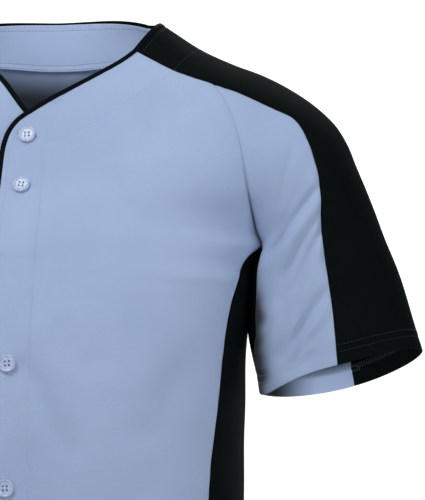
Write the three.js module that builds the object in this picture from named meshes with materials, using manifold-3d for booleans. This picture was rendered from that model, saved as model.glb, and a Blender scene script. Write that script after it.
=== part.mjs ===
// A short-sleeved, full-button baseball jersey, filled out as it is when worn, with nobody in it.
// Millimetres, +Z up. The jersey faces -Y and the wearer's left is +X.
// The origin lies between the two high points of the shoulders, where the wearer holds it up.

import * as THREE from 'three';
import { mergeVertices } from 'three/addons/utils/BufferGeometryUtils.js';
import Module from 'manifold-3d';

const wasm = await Module();
wasm.setup();

// Driving sizes
const WALL = 1.5; // knitted cloth with its seam allowances
const SEAM_GAP = 0.3; // between two panels that are sewn together
const HEM_TURN = 22; // cloth turned up inside at the sleeve hems and the bottom hem
const HEM_TILT = 8; // how far the sleeve hem is lifted in front and lowered at the back
const HEM_BOW = 5; // how far it hangs between its outer and inner ends
const BODY_MIDDLE = -18; // Y of the widest line of the body
const BODY_SQUARENESS = 2.5; // exponent of the body's rounded section
const PLACKET_HALF = 17; // from the centre front to the cloth edge of the button band
const PLACKET_DROP = 46; // height over which the neck corner rounds into the band's edge
const NECK_FADE = 4; // row where the front's rows are level again
const BUTTON_X = 1.8;
const SWELL = { row: 8, spread: 1.9, share: 0.38 }; // fullness of the panels beside the armpit
const UNDERLAP_GAP = 1.5; // between the upper front and the under front where they lap
const UNDERLAP_FULL = 34; // from the centre, how far the under front stays tucked in
const UNDERLAP_OUT = 62; // and where it is back out
const PIPING_WIDTH = 4.2;
const PIPING_THICKNESS = 2;
const FOLD_MEETING = -10; // Y where the folds of the front view give way to those of the back view
const FOLD_BLEND = 36;
const FACING_DEPTH = 42;
const FACING_WALL = 1;
const FACING_RISE = 2.6; // how far the facing covers the inside of the piping
const FACING_INSET = (WALL + PIPING_THICKNESS) / 2 + 2 * SEAM_GAP; // from the outside of the cloth to the facing
const FACING_END = 3; // column of the fronts where the facing stops, beside the button band
const BUTTON_RADIUS = 7.5;
const BUTTON_THICKNESS = 3;
const BUTTON_HOLE_RADIUS = 0.9;
const BUTTON_HOLE_OFFSET = 1.75;
const BUTTON_HEIGHTS = [-105.4, -150.5, -304.5, -408.5, -515, -622];

const COLOURS = {
  blue: { color: 0x8fa6cc, roughness: 0.85, metalness: 0 },
  black: { color: 0x0d1114, roughness: 0.8, metalness: 0 },
  button: { color: 0xb9c8e4, roughness: 0.35, metalness: 0 },
};

// Sections across the shoulder and sleeve, from the neck to the sleeve hem.
// top and under are the two ends of a section, over the shoulder or outside the arm, and at its inner side;
// over the shoulder the inner end is only a guide. front and back are the half depths, and raise lifts the back.
const ARM = [
  { topX: 106, topY: 15, topZ: -1, underX: -15, underZ: -183, front: 52, back: 50, raise: 199 },
  { topX: 138, topY: 12, topZ: -23, underX: 66, underZ: -172, front: 62, back: 60, raise: 112 },
  { topX: 168, topY: 10, topZ: -37, underX: 111, underZ: -181, front: 68, back: 66, raise: 60 },
  { topX: 194, topY: 7, topZ: -47.5, underX: 130, underZ: -183, front: 68, back: 68, raise: 32 },
  { topX: 220.5, topY: 4, topZ: -61.5, underX: 150, underZ: -187, front: 67, back: 68, raise: 15 },
  { topX: 242.5, topY: 1, topZ: -76, underX: 170, underZ: -189, front: 65, back: 66, raise: 6 },
  { topX: 259, topY: 0, topZ: -92, underX: 182, underZ: -190, front: 63, back: 64, raise: 0 },
  { topX: 270, topY: -1, topZ: -110, underX: 189, underZ: -197, front: 61, back: 62, raise: 0 },
  { topX: 277.5, topY: -2, topZ: -128, underX: 193.5, underZ: -205, front: 60, back: 60, raise: 0 },
  { topX: 286, topY: -3, topZ: -148, underX: 189.6, underZ: -216, front: 58, back: 58, raise: 0 },
  { topX: 294.5, topY: -4, topZ: -169, underX: 187.6, underZ: -231, front: 56, back: 56, raise: 0 },
  { topX: 303.5, topY: -4, topZ: -192, underX: 185.9, underZ: -248, front: 54, back: 54, raise: 0 },
  { topX: 313, topY: -5, topZ: -216, underX: 184.6, underZ: -267, front: 52, back: 53, raise: 0 },
  { topX: 322, topY: -5, topZ: -244, underX: 187, underZ: -290, front: 51, back: 52, raise: 0 },
  { topX: 336, topY: -5, topZ: -289.5, underX: 194, underZ: -326, front: 50, back: 51, raise: 0 },
];

// Where the panels meet on the same sections, as angles in degrees from the top: strip and stripBack are the
// edges of the shoulder strip, and seam joins the sleeve to the body or the underarm piece.
const ARM_SEAMS = [
  { strip: 45, stripBack: 45, seam: 45 },
  { strip: 48, stripBack: 48, seam: 48 },
  { strip: 47, stripBack: 47, seam: 47 },
  { strip: 47, stripBack: 47, seam: 64 },
  { strip: 47, stripBack: 47, seam: 87 },
  { strip: 46, stripBack: 48, seam: 113 },
  { strip: 54, stripBack: 55, seam: 130 },
  { strip: 60, stripBack: 60, seam: 142 },
  { strip: 64, stripBack: 64, seam: 150 },
  { strip: 69, stripBack: 69, seam: 152 },
  { strip: 74, stripBack: 73, seam: 152 },
  { strip: 77, stripBack: 76, seam: 151 },
  { strip: 79, stripBack: 79, seam: 151 },
  { strip: 81.5, stripBack: 82, seam: 153 },
  { strip: 87.5, stripBack: 85, seam: 180 },
];
const SEAM_START = 2; // section where the sleeve seam leaves the shoulder strip
const UNDERARM = 8; // section where the body and the sleeve part
const HEM_START = 9; // section where the hem's tilt begins
const SLEEVE_END = ARM.length - 1;
const GUSSET_END = 13.75; // section where the underarm piece comes to its point

// Necklines of the two fronts, in rows: point is the depth at the centre, where it falls off with the given
// power, and sag is how far the line hangs halfway to the shoulder
const NECK = {
  left: { point: 0.72, power: 3, sag: 0.18 },
  right: { point: 0.72, power: 3.6, sag: -0.42 },
};

// Centre front and centre back, one row for each row of panel sections from the neck to the underarm.
const YOKE = [
  { frontZ: -74, front: 60, backZ: 8, back: 80 },
  { frontZ: -92, front: 66, backZ: -14, back: 86 },
  { frontZ: -109, front: 73.5, backZ: -37, back: 92 },
  { frontZ: -128, front: 83, backZ: -64, back: 98 },
  { frontZ: -148, front: 93.5, backZ: -93, back: 104 },
  { frontZ: -168, front: 103.5, backZ: -124, back: 108.5 },
  { frontZ: -185, front: 111.5, backZ: -153, back: 111 },
  { frontZ: -199, front: 118, backZ: -179, back: 111.5 },
  { frontZ: -210, front: 122.5, backZ: -200, back: 111.5 },
];

// Level sections of the body below the underarm. half is the half width, front and back the depths at the
// centre lines, panelFront and panelBack how far the side panel reaches each way from the widest line.
const BODY = [
  { z: -217, half: 187.5, front: 125.5, back: 111, panelFront: 22, panelBack: 46 },
  { z: -230, half: 186.3, front: 130.5, back: 110.5, panelFront: 31, panelBack: 49 },
  { z: -247, half: 184.6, front: 136, back: 109.5, panelFront: 41, panelBack: 52 },
  { z: -279, half: 182.2, front: 144, back: 107, panelFront: 51, panelBack: 57 },
  { z: -336, half: 181, front: 150.5, back: 102, panelFront: 61.5, panelBack: 63 },
  { z: -418, half: 179.8, front: 153, back: 99, panelFront: 73, panelBack: 70 },
  { z: -570, half: 182, front: 151, back: 101, panelFront: 80.5, panelBack: 77 },
  { z: -755, half: 186, front: 150, back: 106, panelFront: 85, panelBack: 82 },
];
const BODY_END = UNDERARM + BODY.length;

// Soft folds as they lie in the front view, and their like on the back: troughs have a negative height.
const FRONT_FOLDS = [
  { x0: 247, z0: -158, x1: 205, z1: -208, width: 9, height: -2.6 },
  { x0: 243, z0: -198, x1: 214, z1: -254, width: 8, height: -2.2 },
  { x0: 252, z0: -206, x1: 226, z1: -268, width: 7, height: -1.8 },
  { x0: 254, z0: -246, x1: 220, z1: -298, width: 8, height: -2.2 },
  { x0: 212, z0: -290, x1: 201, z1: -318, width: 6, height: -1.6 },
  { x0: 30, z0: -185, x1: 26, z1: -262, width: 11, height: -2.4 },
  { x0: 44, z0: -268, x1: 68, z1: -312, width: 12, height: -2.4 },
  { x0: 16, z0: -308, x1: 56, z1: -382, width: 11, height: -3 },
  { x0: -14, z0: -236, x1: 4, z1: -292, width: 9, height: -1.8 },
  { x0: -92, z0: -300, x1: -120, z1: -430, width: 16, height: -3 },
  { x0: -40, z0: -330, x1: -62, z1: -470, width: 14, height: -3 },
  { x0: 96, z0: -450, x1: 112, z1: -790, width: 20, height: -5 },
  { x0: -86, z0: -480, x1: -104, z1: -790, width: 20, height: -5 },
  { x0: 45, z0: -560, x1: 40, z1: -790, width: 17, height: 3.4 },
  { x0: -50, z0: -590, x1: -48, z1: -790, width: 17, height: 3.4 },
  { x0: 150, z0: -300, x1: 118, z1: -368, width: 14, height: -2.4 },
];
const BACK_FOLDS = [
  { x0: 250, z0: -150, x1: 206, z1: -206, width: 10, height: -2.6 },
  { x0: 254, z0: -200, x1: 216, z1: -262, width: 9, height: -2.2 },
  { x0: 262, z0: -244, x1: 224, z1: -300, width: 9, height: -2 },
  { x0: -246, z0: -158, x1: -204, z1: -212, width: 9, height: -2.4 },
  { x0: -256, z0: -214, x1: -218, z1: -280, width: 9, height: -2.2 },
  { x0: 120, z0: -150, x1: 84, z1: -300, width: 20, height: -4 },
  { x0: -128, z0: -160, x1: -90, z1: -320, width: 20, height: -4 },
  { x0: 36, z0: -300, x1: 52, z1: -790, width: 24, height: -6 },
  { x0: -44, z0: -340, x1: -60, z1: -790, width: 24, height: -6 },
  { x0: 118, z0: -380, x1: 124, z1: -790, width: 20, height: -5 },
  { x0: -122, z0: -420, x1: -124, z1: -790, width: 20, height: -5 },
];

// Mesh density: steps for each section, and columns across each panel
const CORNER_STEPS = 3;
const YOKE_STEPS = 2;
const BODY_STEP = 34; // most millimetres between two rows of the body
const ROW_SAMPLES = 40;
const COLUMNS = { front: 9, back: 14, side: 5, strip: 6, sleeve: 5, gusset: 3 };
const BUTTON_SIDES = 14;
const HOLE_SIDES = 5;

const radians = THREE.MathUtils.degToRad;
const clamp = THREE.MathUtils.clamp;
const lerp = THREE.MathUtils.lerp;
const smooth = (value) => THREE.MathUtils.smoothstep(value, 0, 1);
const vector = (x, y, z) => new THREE.Vector3(x, y, z);

// A smooth curve through equally spaced values
function through(values, at) {
  const last = values.length - 1;
  const start = clamp(Math.floor(at), 0, last - 1);
  const share = at - start;
  const [a, b, c, d] = [-1, 0, 1, 2].map((step) => {
    const index = start + step;
    if (index < 0) return 2 * values[0] - values[1];
    if (index > last) return 2 * values[last] - values[last - 1];
    return values[index];
  });
  const slope = (c - a) / 2;
  const nextSlope = (d - b) / 2;
  const rise = c - b;
  return b + share * (slope + share * (3 * rise - 2 * slope - nextSlope + share * (slope + nextSlope - 2 * rise)));
}

const column = (table, name) => table.map((row) => row[name]);

function throughPoints(points, at) {
  return vector(...['x', 'y', 'z'].map((axis) => through(points.map((point) => point[axis]), at)));
}

// How much of the hem's tilt and bow a section of the sleeve has
const hemShare = (section) => (Math.max(0, section - HEM_START) / (SLEEVE_END - HEM_START)) ** 1.5;

// The wearer's left shoulder and sleeve. angle runs from the top, to the front if it is positive.
function armPoint(section, angle) {
  const size = (name) => through(column(ARM, name), section);
  const turn = radians(angle);
  const drop = (1 - Math.cos(turn)) / 2;
  const front = angle >= 0;
  const aside = Math.sin(turn);
  const lift = (front ? 0 : drop * size('raise')) + hemShare(section) * (HEM_TILT * aside - HEM_BOW * aside ** 2);
  return vector(
    lerp(size('topX'), size('underX'), drop),
    size('topY') - aside * size(front ? 'front' : 'back'),
    lerp(size('topZ'), size('underZ'), drop) + lift,
  );
}

function armNormal(section, angle) {
  const nudge = 0.02;
  const around = armPoint(section, angle + 1).sub(armPoint(section, angle - 1));
  const along = armPoint(section + nudge, angle).sub(armPoint(section - nudge, angle));
  return around.cross(along).normalize();
}

const stripAngle = (section) => through(column(ARM_SEAMS, 'strip'), section);
const stripBackAngle = (section) => -through(column(ARM_SEAMS, 'stripBack'), section);

function seamAngle(section) {
  if (section <= SEAM_START) return stripAngle(section);
  if (section <= UNDERARM) {
    const seams = column(ARM_SEAMS, 'seam').slice(SEAM_START, UNDERARM + 1);
    return through(seams, section - SEAM_START);
  }
  const narrow = smooth((section - GUSSET_END + 1.3) / 1.3);
  return lerp(ARM_SEAMS[UNDERARM].seam, 180, narrow);
}

// A level section of the body, where side 0 is the front edge of the side panel and 1 its back edge
function ringPoint(row, side) {
  const { z, half, front, back, panelFront, panelBack } = row;
  const depth = { front: front + BODY_MIDDLE, back: back - BODY_MIDDLE };
  const power = BODY_SQUARENESS / 2;
  const frontTurn = -Math.asin((panelFront / depth.front) ** power);
  const backTurn = Math.asin((panelBack / depth.back) ** power);
  const turn = lerp(frontTurn, backTurn, side);
  const reach = turn < 0 ? depth.front : depth.back;
  return vector(
    half * Math.cos(turn) ** (1 / power),
    BODY_MIDDLE + Math.sign(turn) * reach * Math.abs(Math.sin(turn)) ** (1 / power),
    z,
  );
}

// The side of the body: row runs from the underarm section down to the hem
function sidePoint(row, side) {
  const edge = ARM_SEAMS[UNDERARM].seam;
  const points = [armPoint(UNDERARM, side < 0.5 ? lerp(edge, 180, side * 2) : lerp(-180, -edge, side * 2 - 1))];
  for (const section of BODY) points.push(ringPoint(section, side));
  return throughPoints(points, row - UNDERARM);
}

function sideNormal(row, side) {
  const [low, high] = [Math.max(side - 0.02, 0), Math.min(side + 0.02, 1)];
  const around = sidePoint(row, high).sub(sidePoint(row, low));
  const down = sidePoint(row + 0.02, side).sub(sidePoint(row - 0.02, side));
  return down.cross(around).normalize();
}

// The edge where the front or the back panel ends, and the way that panel faces there
function panelEdge(row, back) {
  if (row <= UNDERARM) return armPoint(row, back ? -seamAngle(row) : seamAngle(row));
  return sidePoint(row, back ? 1 : 0);
}

const facing = (normal) => ({ turn: Math.atan2(normal.x, Math.abs(normal.y)), lift: Math.asin(normal.z) });

function panelEdgeNormal(row, back) {
  const joined = UNDERARM + 2;
  if (row >= joined) return sideNormal(row, back ? 1 : 0);
  if (row <= SEAM_START) return armNormal(row, back ? stripBackAngle(row) : stripAngle(row));
  const start = facing(armNormal(SEAM_START, back ? stripBackAngle(SEAM_START) : stripAngle(SEAM_START)));
  const end = facing(sideNormal(joined, back ? 1 : 0));
  const [top, low] = [panelEdge(SEAM_START, back).z, panelEdge(joined, back).z];
  const share = clamp((panelEdge(row, back).z - top) / (low - top), 0, 1);
  const turn = lerp(start.turn, end.turn, share ** 1.5);
  const lift = lerp(start.lift, end.lift, share ** 0.8);
  const level = Math.cos(lift);
  return vector(Math.sin(turn) * level, (back ? 1 : -1) * Math.cos(turn) * level, Math.sin(lift));
}

function centrePoint(row, back) {
  const rows = [...YOKE.map((section) => (back ? [section.back, section.backZ] : [-section.front, section.frontZ])),
    ...BODY.map((section) => [back ? section.back : -section.front, section.z])];
  return vector(0, through(rows.map((pair) => pair[0]), row), through(rows.map((pair) => pair[1]), row));
}

function centreNormal(row, back) {
  const down = centrePoint(row + 0.05, back).sub(centrePoint(row - 0.05, back));
  return back ? vector(0, -down.z, down.y).normalize() : vector(0, down.z, -down.y).normalize();
}

// A curve that leaves and arrives square to the two normals, near to a round arc.
// swell draws out its second half, to fill the chest in front of the armpit.
function bridge(start, startNormal, end, endNormal, at, swell) {
  const chord = end.clone().sub(start);
  const length = chord.length();
  const leave = chord.clone().projectOnPlane(startNormal).normalize();
  const arrive = chord.clone().projectOnPlane(endNormal).normalize();
  const fullness = length / Math.cos(leave.angleTo(arrive) / 4) ** 2;
  const [two, three] = [at * at, at * at * at];
  return start.clone().multiplyScalar(2 * three - 3 * two + 1)
    .addScaledVector(leave, (three - 2 * two + at) * fullness)
    .addScaledVector(end, 3 * two - 2 * three)
    .addScaledVector(arrive, (three - two) * fullness * swell);
}

// A front's rows sink towards the centre, so that the neckline comes to a point
function sunkRow(row, across, neck) {
  const out = Math.max(across, 0);
  const depth = neck.point * (1 - out) ** neck.power + 4 * neck.sag * out * (1 - out);
  return row + depth * Math.max(0, 1 - row / NECK_FADE);
}

// The front or the back, where across is 0 at the centre and 1 or -1 at the side edges.
// neck is the neckline's shape on a front, and null on the back.
function panelPoint(panelRow, across, neck) {
  const back = !neck;
  const row = back ? panelRow : sunkRow(panelRow, across, neck);
  const swell = 1 + SWELL.share * Math.exp(-(((row - SWELL.row) / SWELL.spread) ** 2));
  const point = bridge(
    centrePoint(row, back), centreNormal(row, back),
    panelEdge(row, back), panelEdgeNormal(row, back), Math.abs(across), swell,
  );
  if (across < 0) point.x = -point.x;
  return point;
}

function foldsHeight(point, folds) {
  let height = 0;
  for (const fold of folds) {
    const run = { x: fold.x1 - fold.x0, z: fold.z1 - fold.z0 };
    const length = Math.hypot(run.x, run.z);
    const along = ((point.x - fold.x0) * run.x + (point.z - fold.z0) * run.z) / length ** 2;
    const aside = ((point.x - fold.x0) * run.z - (point.z - fold.z0) * run.x) / length;
    const ends = smooth((0.5 - Math.abs(along - 0.5)) / 0.35 + 0.6);
    height += fold.height * ends * Math.exp(-((aside / fold.width) ** 2));
  }
  return height;
}

// The folds of the front view and of the back view meet softly at the sides
function foldHeight(point) {
  const share = smooth((point.y - FOLD_MEETING) / FOLD_BLEND + 0.5);
  return (1 - share) * foldsHeight(point, FRONT_FOLDS) + share * foldsHeight(point, BACK_FOLDS);
}

// One row of a panel: even steps along it, held back from its two ends by half a seam gap
function rowOf(pointAt, from, to, columns, trimFrom = SEAM_GAP / 2, trimTo = SEAM_GAP / 2) {
  const samples = Array.from({ length: ROW_SAMPLES + 1 }, (_, i) => pointAt(lerp(from, to, i / ROW_SAMPLES)));
  const lengths = [0];
  for (let i = 1; i <= ROW_SAMPLES; i++) lengths.push(lengths[i - 1] + samples[i].distanceTo(samples[i - 1]));
  const total = lengths[ROW_SAMPLES];
  return Array.from({ length: columns + 1 }, (_, i) => {
    const wanted = lerp(trimFrom, total - trimTo, i / columns);
    const next = clamp(lengths.findIndex((length) => length >= wanted), 1, ROW_SAMPLES);
    const share = (wanted - lengths[next - 1]) / (lengths[next] - lengths[next - 1] || 1);
    return samples[next - 1].clone().lerp(samples[next], share);
  });
}

function gridNormals(grid, sign) {
  return grid.map((row, i) => row.map((_, j) => {
    const along = grid[Math.min(i + 1, grid.length - 1)][j].clone().sub(grid[Math.max(i - 1, 0)][j]);
    const across = row[Math.min(j + 1, row.length - 1)].clone().sub(row[Math.max(j - 1, 0)]);
    return across.cross(along).normalize().multiplyScalar(sign);
  }));
}

function moved(grid, normals, height) {
  return grid.map((row, i) => row.map((point, j) => point.clone().addScaledVector(normals[i][j], height(point, i, j))));
}

// A closed wall between two grids of points, with its faces pointing out
function wallGeometry(outer, inner) {
  const [rows, columns] = [outer.length, outer[0].length];
  const positions = [];
  for (const grid of [outer, inner]) for (const row of grid) for (const point of row) positions.push(...point);
  const at = (layer, i, j) => (layer * rows + i) * columns + j;
  const faces = [];
  const quad = (a, b, c, d) => faces.push(a, b, c, a, c, d);
  for (let i = 0; i < rows - 1; i++) {
    for (let j = 0; j < columns - 1; j++) {
      quad(at(0, i, j), at(0, i, j + 1), at(0, i + 1, j + 1), at(0, i + 1, j));
      quad(at(1, i, j), at(1, i + 1, j), at(1, i + 1, j + 1), at(1, i, j + 1));
    }
    quad(at(0, i, 0), at(0, i + 1, 0), at(1, i + 1, 0), at(1, i, 0));
    quad(at(0, i, columns - 1), at(1, i, columns - 1), at(1, i + 1, columns - 1), at(0, i + 1, columns - 1));
  }
  for (let j = 0; j < columns - 1; j++) {
    quad(at(0, 0, j), at(1, 0, j), at(1, 0, j + 1), at(0, 0, j + 1));
    quad(at(0, rows - 1, j), at(0, rows - 1, j + 1), at(1, rows - 1, j + 1), at(1, rows - 1, j));
  }
  return facingOut(positions, faces);
}

function facingOut(positions, faces) {
  const corner = (index) => vector(...positions.slice(index * 3, index * 3 + 3));
  let volume = 0;
  for (let i = 0; i < faces.length; i += 3) {
    const [a, b, c] = [0, 1, 2].map((step) => corner(faces[i + step]));
    volume += a.dot(b.cross(c));
  }
  if (volume < 0) for (let i = 0; i < faces.length; i += 3) [faces[i], faces[i + 1]] = [faces[i + 1], faces[i]];
  const geometry = new THREE.BufferGeometry();
  geometry.setAttribute('position', new THREE.Float32BufferAttribute(positions, 3));
  geometry.setIndex(faces);
  return geometry;
}

const jersey = new THREE.Group();
jersey.name = 'baseball_jersey';
const materials = Object.fromEntries(
  Object.entries(COLOURS).map(([name, settings]) => [name, new THREE.MeshStandardMaterial(settings)]),
);

function add(name, geometry, colour) {
  const mesh = new THREE.Mesh(geometry, materials[colour]);
  mesh.name = name;
  jersey.add(mesh);
  return mesh;
}

const mirrored = (grid) => grid.map((row) => row.map((point) => vector(-point.x, point.y, point.z)));

// Normals that point away from the wearer, with those along the two seams given by the seams themselves
function outwardNormals(grid, awayFrom, seams) {
  let normals = gridNormals(grid, 1);
  const [i, j] = [Math.floor(grid.length / 2), Math.floor(grid[0].length / 2)];
  if (grid[i][j].clone().sub(awayFrom).dot(normals[i][j]) < 0) normals = gridNormals(grid, -1);
  return normals.map((row, index) => [seams[index][0], ...row.slice(1, -1), seams[index][1]]);
}

// A cloth panel: its folds raised along the normals, and its wall laid inside, doubled along the hem
function clothPanel({ name, colour, grid, awayFrom, seams, hemRows = 0, sink = () => 0 }) {
  const normals = outwardNormals(grid, awayFrom, seams);
  const hemStart = grid.length - hemRows;
  const outer = moved(grid, normals, (point, i) => foldHeight(point) - sink(point, i >= hemStart));
  const inner = moved(outer, normals, (_, i) => -(i >= hemStart ? 2 * WALL : WALL));
  add(name, wallGeometry(outer, inner), colour);
  return { outer, inner, normals };
}

// Row values from one section to another, with extra rows that bound the turned-up hem
function rowValues(from, to, steps) {
  const values = [];
  for (let section = Math.floor(from); section < Math.ceil(to); section++) {
    const count = steps(section);
    for (let step = 0; step < count; step++) {
      const value = section + step / count;
      if (value > from + 1e-6 && value < to - 1e-6) values.push(value);
    }
  }
  return [from, ...values, to];
}

function withHem(values, lengthOfLast) {
  const end = values[values.length - 1];
  const turn = HEM_TURN / lengthOfLast;
  const kept = values.filter((value) => value < end - turn * 1.2);
  return [...kept, end - turn - 0.02, end - turn, end];
}

function steps(section) {
  if (section < SEAM_START) return CORNER_STEPS;
  if (section < UNDERARM) return YOKE_STEPS;
  const drop = section === UNDERARM ? 0 : BODY[section - UNDERARM - 1].z - BODY[section - UNDERARM].z;
  return Math.max(1, Math.round(drop / BODY_STEP));
}

const sleeveSteps = (section) => (section < SEAM_START ? CORNER_STEPS : YOKE_STEPS);
const lastBodyLength = BODY[BODY.length - 2].z - BODY[BODY.length - 1].z;
const lastSleeveLength = 44;
const bodyRows = withHem(rowValues(0, BODY_END, steps), lastBodyLength);
const stripRows = withHem(rowValues(0, SLEEVE_END, sleeveSteps), lastSleeveLength);
const sleeveRows = withHem(rowValues(SEAM_START + 0.12, SLEEVE_END, sleeveSteps), lastSleeveLength);
const gussetRows = rowValues(UNDERARM + 0.02, GUSSET_END - 0.12, sleeveSteps);
const sideRows = [UNDERARM + 0.02, ...bodyRows.filter((row) => row > UNDERARM + 0.02)];
const hemRows = 2;
const bodyCentre = vector(0, 0, -300);
const armCentre = vector(240, 0, -150);

// The shared direction of the walls along the seam between a body panel and its neighbour
function panelSeam(row, back) {
  const sleeveRow = Math.min(row, UNDERARM);
  const angle = seamAngle(sleeveRow);
  const shared = armNormal(sleeveRow, back ? -angle : angle).add(panelEdgeNormal(sleeveRow, back)).normalize();
  if (row <= UNDERARM) return shared;
  return shared.lerp(sideNormal(row, back ? 1 : 0), smooth(row - UNDERARM)).normalize();
}

// The same along an edge of a sleeve piece, at any angle
function sleeveSeam(row, angle) {
  const turn = angle > 180 ? angle - 360 : angle;
  const own = armNormal(row, turn);
  if (Math.abs(Math.abs(turn) - seamAngle(row)) > 1e-6) return own;
  return panelSeam(Math.min(row, UNDERARM), turn < 0).lerp(own, smooth(row - UNDERARM)).normalize();
}

// How far the front runs past the centre, as the neck corner rounds into the band's edge
function bandEdge(row, neck) {
  const fall = (panelPoint(0, 0, neck).z - panelPoint(row, 0, neck).z) / PLACKET_DROP;
  return -PLACKET_HALF * (1 - (1 - clamp(fall, 0, 1)) ** 2.7);
}

function bandAcross(row, neck) {
  const half = panelPoint(row, 0.1, neck).x / 0.1;
  return bandEdge(row, neck) / half;
}

function bandNormal(row, neck) {
  const across = bandAcross(row, neck);
  const down = panelPoint(row + 0.02, across, neck).sub(panelPoint(row - 0.02, across, neck));
  const aside = panelPoint(row, across + 0.02, neck).sub(panelPoint(row, across - 0.02, neck));
  return down.cross(aside).normalize();
}

// A front as it lies on the wearer's left
function frontPanel(neck) {
  return {
    colour: 'blue',
    hemRows,
    awayFrom: bodyCentre,
    grid: bodyRows.map((row) => {
      const pointAt = (across) => panelPoint(row, across, neck);
      return rowOf(pointAt, bandAcross(row, neck), 1, COLUMNS.front, 0);
    }),
    seams: bodyRows.map((row) => [bandNormal(row, neck), panelSeam(row, false)]),
  };
}

function underlap(point, inHem) {
  const depth = (inHem ? 2 : 1) * WALL + UNDERLAP_GAP;
  return depth * smooth((point.x + UNDERLAP_OUT) / (UNDERLAP_OUT - UNDERLAP_FULL));
}

const flip = (normal) => vector(-normal.x, normal.y, normal.z);
const onTheRight = (panel) => ({
  ...panel,
  grid: mirrored(panel.grid),
  seams: panel.seams.map((ends) => ends.map(flip)),
  awayFrom: flip(panel.awayFrom),
});

const leftFront = clothPanel({ ...frontPanel(NECK.left), name: 'front_left' });
const rightFront = clothPanel({ ...onTheRight(frontPanel(NECK.right)), name: 'front_right', sink: underlap });
const backPanel = clothPanel({
  name: 'back', colour: 'blue', awayFrom: bodyCentre, hemRows,
  grid: bodyRows.map((row) => rowOf((across) => panelPoint(row, across, null), -1, 1, COLUMNS.back)),
  seams: bodyRows.map((row) => [flip(panelSeam(row, true)), panelSeam(row, true)]),
});

// Panels that both sides have, made for the wearer's left and mirrored for the right.
// Those of the sleeve run from one angle to another.
function sleevePanel(rows, from, to, columns) {
  return {
    grid: rows.map((row) => rowOf((angle) => armPoint(row, angle), from(row), to(row), columns)),
    seams: rows.map((row) => [sleeveSeam(row, from(row)), sleeveSeam(row, to(row))]),
    awayFrom: armCentre,
  };
}

const minus = (angle) => (row) => -angle(row);
const around = (angle) => (row) => 360 - angle(row);
const SIDED = [
  {
    name: 'shoulder_strip', colour: 'black', hemRows,
    ...sleevePanel(stripRows, stripAngle, stripBackAngle, COLUMNS.strip),
  },
  {
    name: 'sleeve_front', colour: 'blue', hemRows,
    ...sleevePanel(sleeveRows, seamAngle, stripAngle, COLUMNS.sleeve),
  },
  {
    name: 'sleeve_back', colour: 'blue', hemRows,
    ...sleevePanel(sleeveRows, stripBackAngle, minus(seamAngle), COLUMNS.sleeve),
  },
  {
    name: 'underarm_gusset', colour: 'black',
    ...sleevePanel(gussetRows, seamAngle, around(seamAngle), COLUMNS.gusset),
  },
  {
    name: 'side_panel', colour: 'black', hemRows, awayFrom: bodyCentre,
    grid: sideRows.map((row) => rowOf((side) => sidePoint(row, side), 0, 1, COLUMNS.side)),
    seams: sideRows.map((row) => [panelSeam(row, false), panelSeam(row, true)]),
  },
];
const made = {};
for (const piece of SIDED) {
  made[`${piece.name}_left`] = clothPanel({ ...piece, name: `${piece.name}_left` });
  made[`${piece.name}_right`] = clothPanel({ ...onTheRight(piece), name: `${piece.name}_right` });
}

// The neck edge of one side from the centre back to the front corner, as columns of the panels it passes
function neckColumns(side) {
  const left = side === 'left';
  const strip = made[`shoulder_strip_${side}`];
  const front = left ? leftFront : rightFront;
  const middle = COLUMNS.back / 2;
  const columns = [];
  for (let j = 0; j <= middle; j++) columns.push([backPanel, middle + (left ? j : -j)]);
  for (let j = COLUMNS.strip - 1; j > 0; j--) columns.push([strip, j]);
  for (let j = COLUMNS.front; j >= 0; j--) columns.push([front, j]);
  return columns;
}

// Piping: a binding along the neck edge and down the front edge of each front
function pipingPath(side) {
  const front = side === 'left' ? leftFront : rightFront;
  const path = neckColumns(side).map(([panel, j]) => ({ point: panel.outer[0][j], normal: panel.normals[0][j] }));
  for (let i = 1; i < front.outer.length; i++) path.push({ point: front.outer[i][0], normal: front.normals[i][0] });
  return path;
}

function pipingGeometry(path) {
  const half = PIPING_THICKNESS / 2;
  const edge = SEAM_GAP + PIPING_WIDTH;
  const profile = [[SEAM_GAP, -half], [SEAM_GAP, half], [edge - half, half], [edge, half * 0.3],
    [edge, -half * 0.3], [edge - half, -half]];
  const positions = [];
  path.forEach(({ point, normal }, i) => {
    const tangent = path[Math.min(i + 1, path.length - 1)].point.clone().sub(path[Math.max(i - 1, 0)].point);
    const out = normal.clone().cross(tangent).normalize();
    for (const [aside, lift] of profile) {
      const corner = point.clone().addScaledVector(out, aside).addScaledVector(normal, lift - WALL / 2);
      positions.push(...corner);
    }
  });
  const faces = [];
  const sides = profile.length;
  for (let i = 0; i < path.length - 1; i++) {
    for (let j = 0; j < sides; j++) {
      const [a, b] = [i * sides + j, i * sides + (j + 1) % sides];
      faces.push(a, b, b + sides, a, b + sides, a + sides);
    }
  }
  const last = (path.length - 1) * sides;
  for (let j = 1; j < sides - 1; j++) faces.push(0, j + 1, j, last, last + j, last + j + 1);
  return facingOut(positions, faces);
}

const rightPath = pipingPath('right');
const leftPath = pipingPath('left').slice(1).reverse();
add('piping', pipingGeometry([...leftPath, ...rightPath]), 'black');

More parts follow.
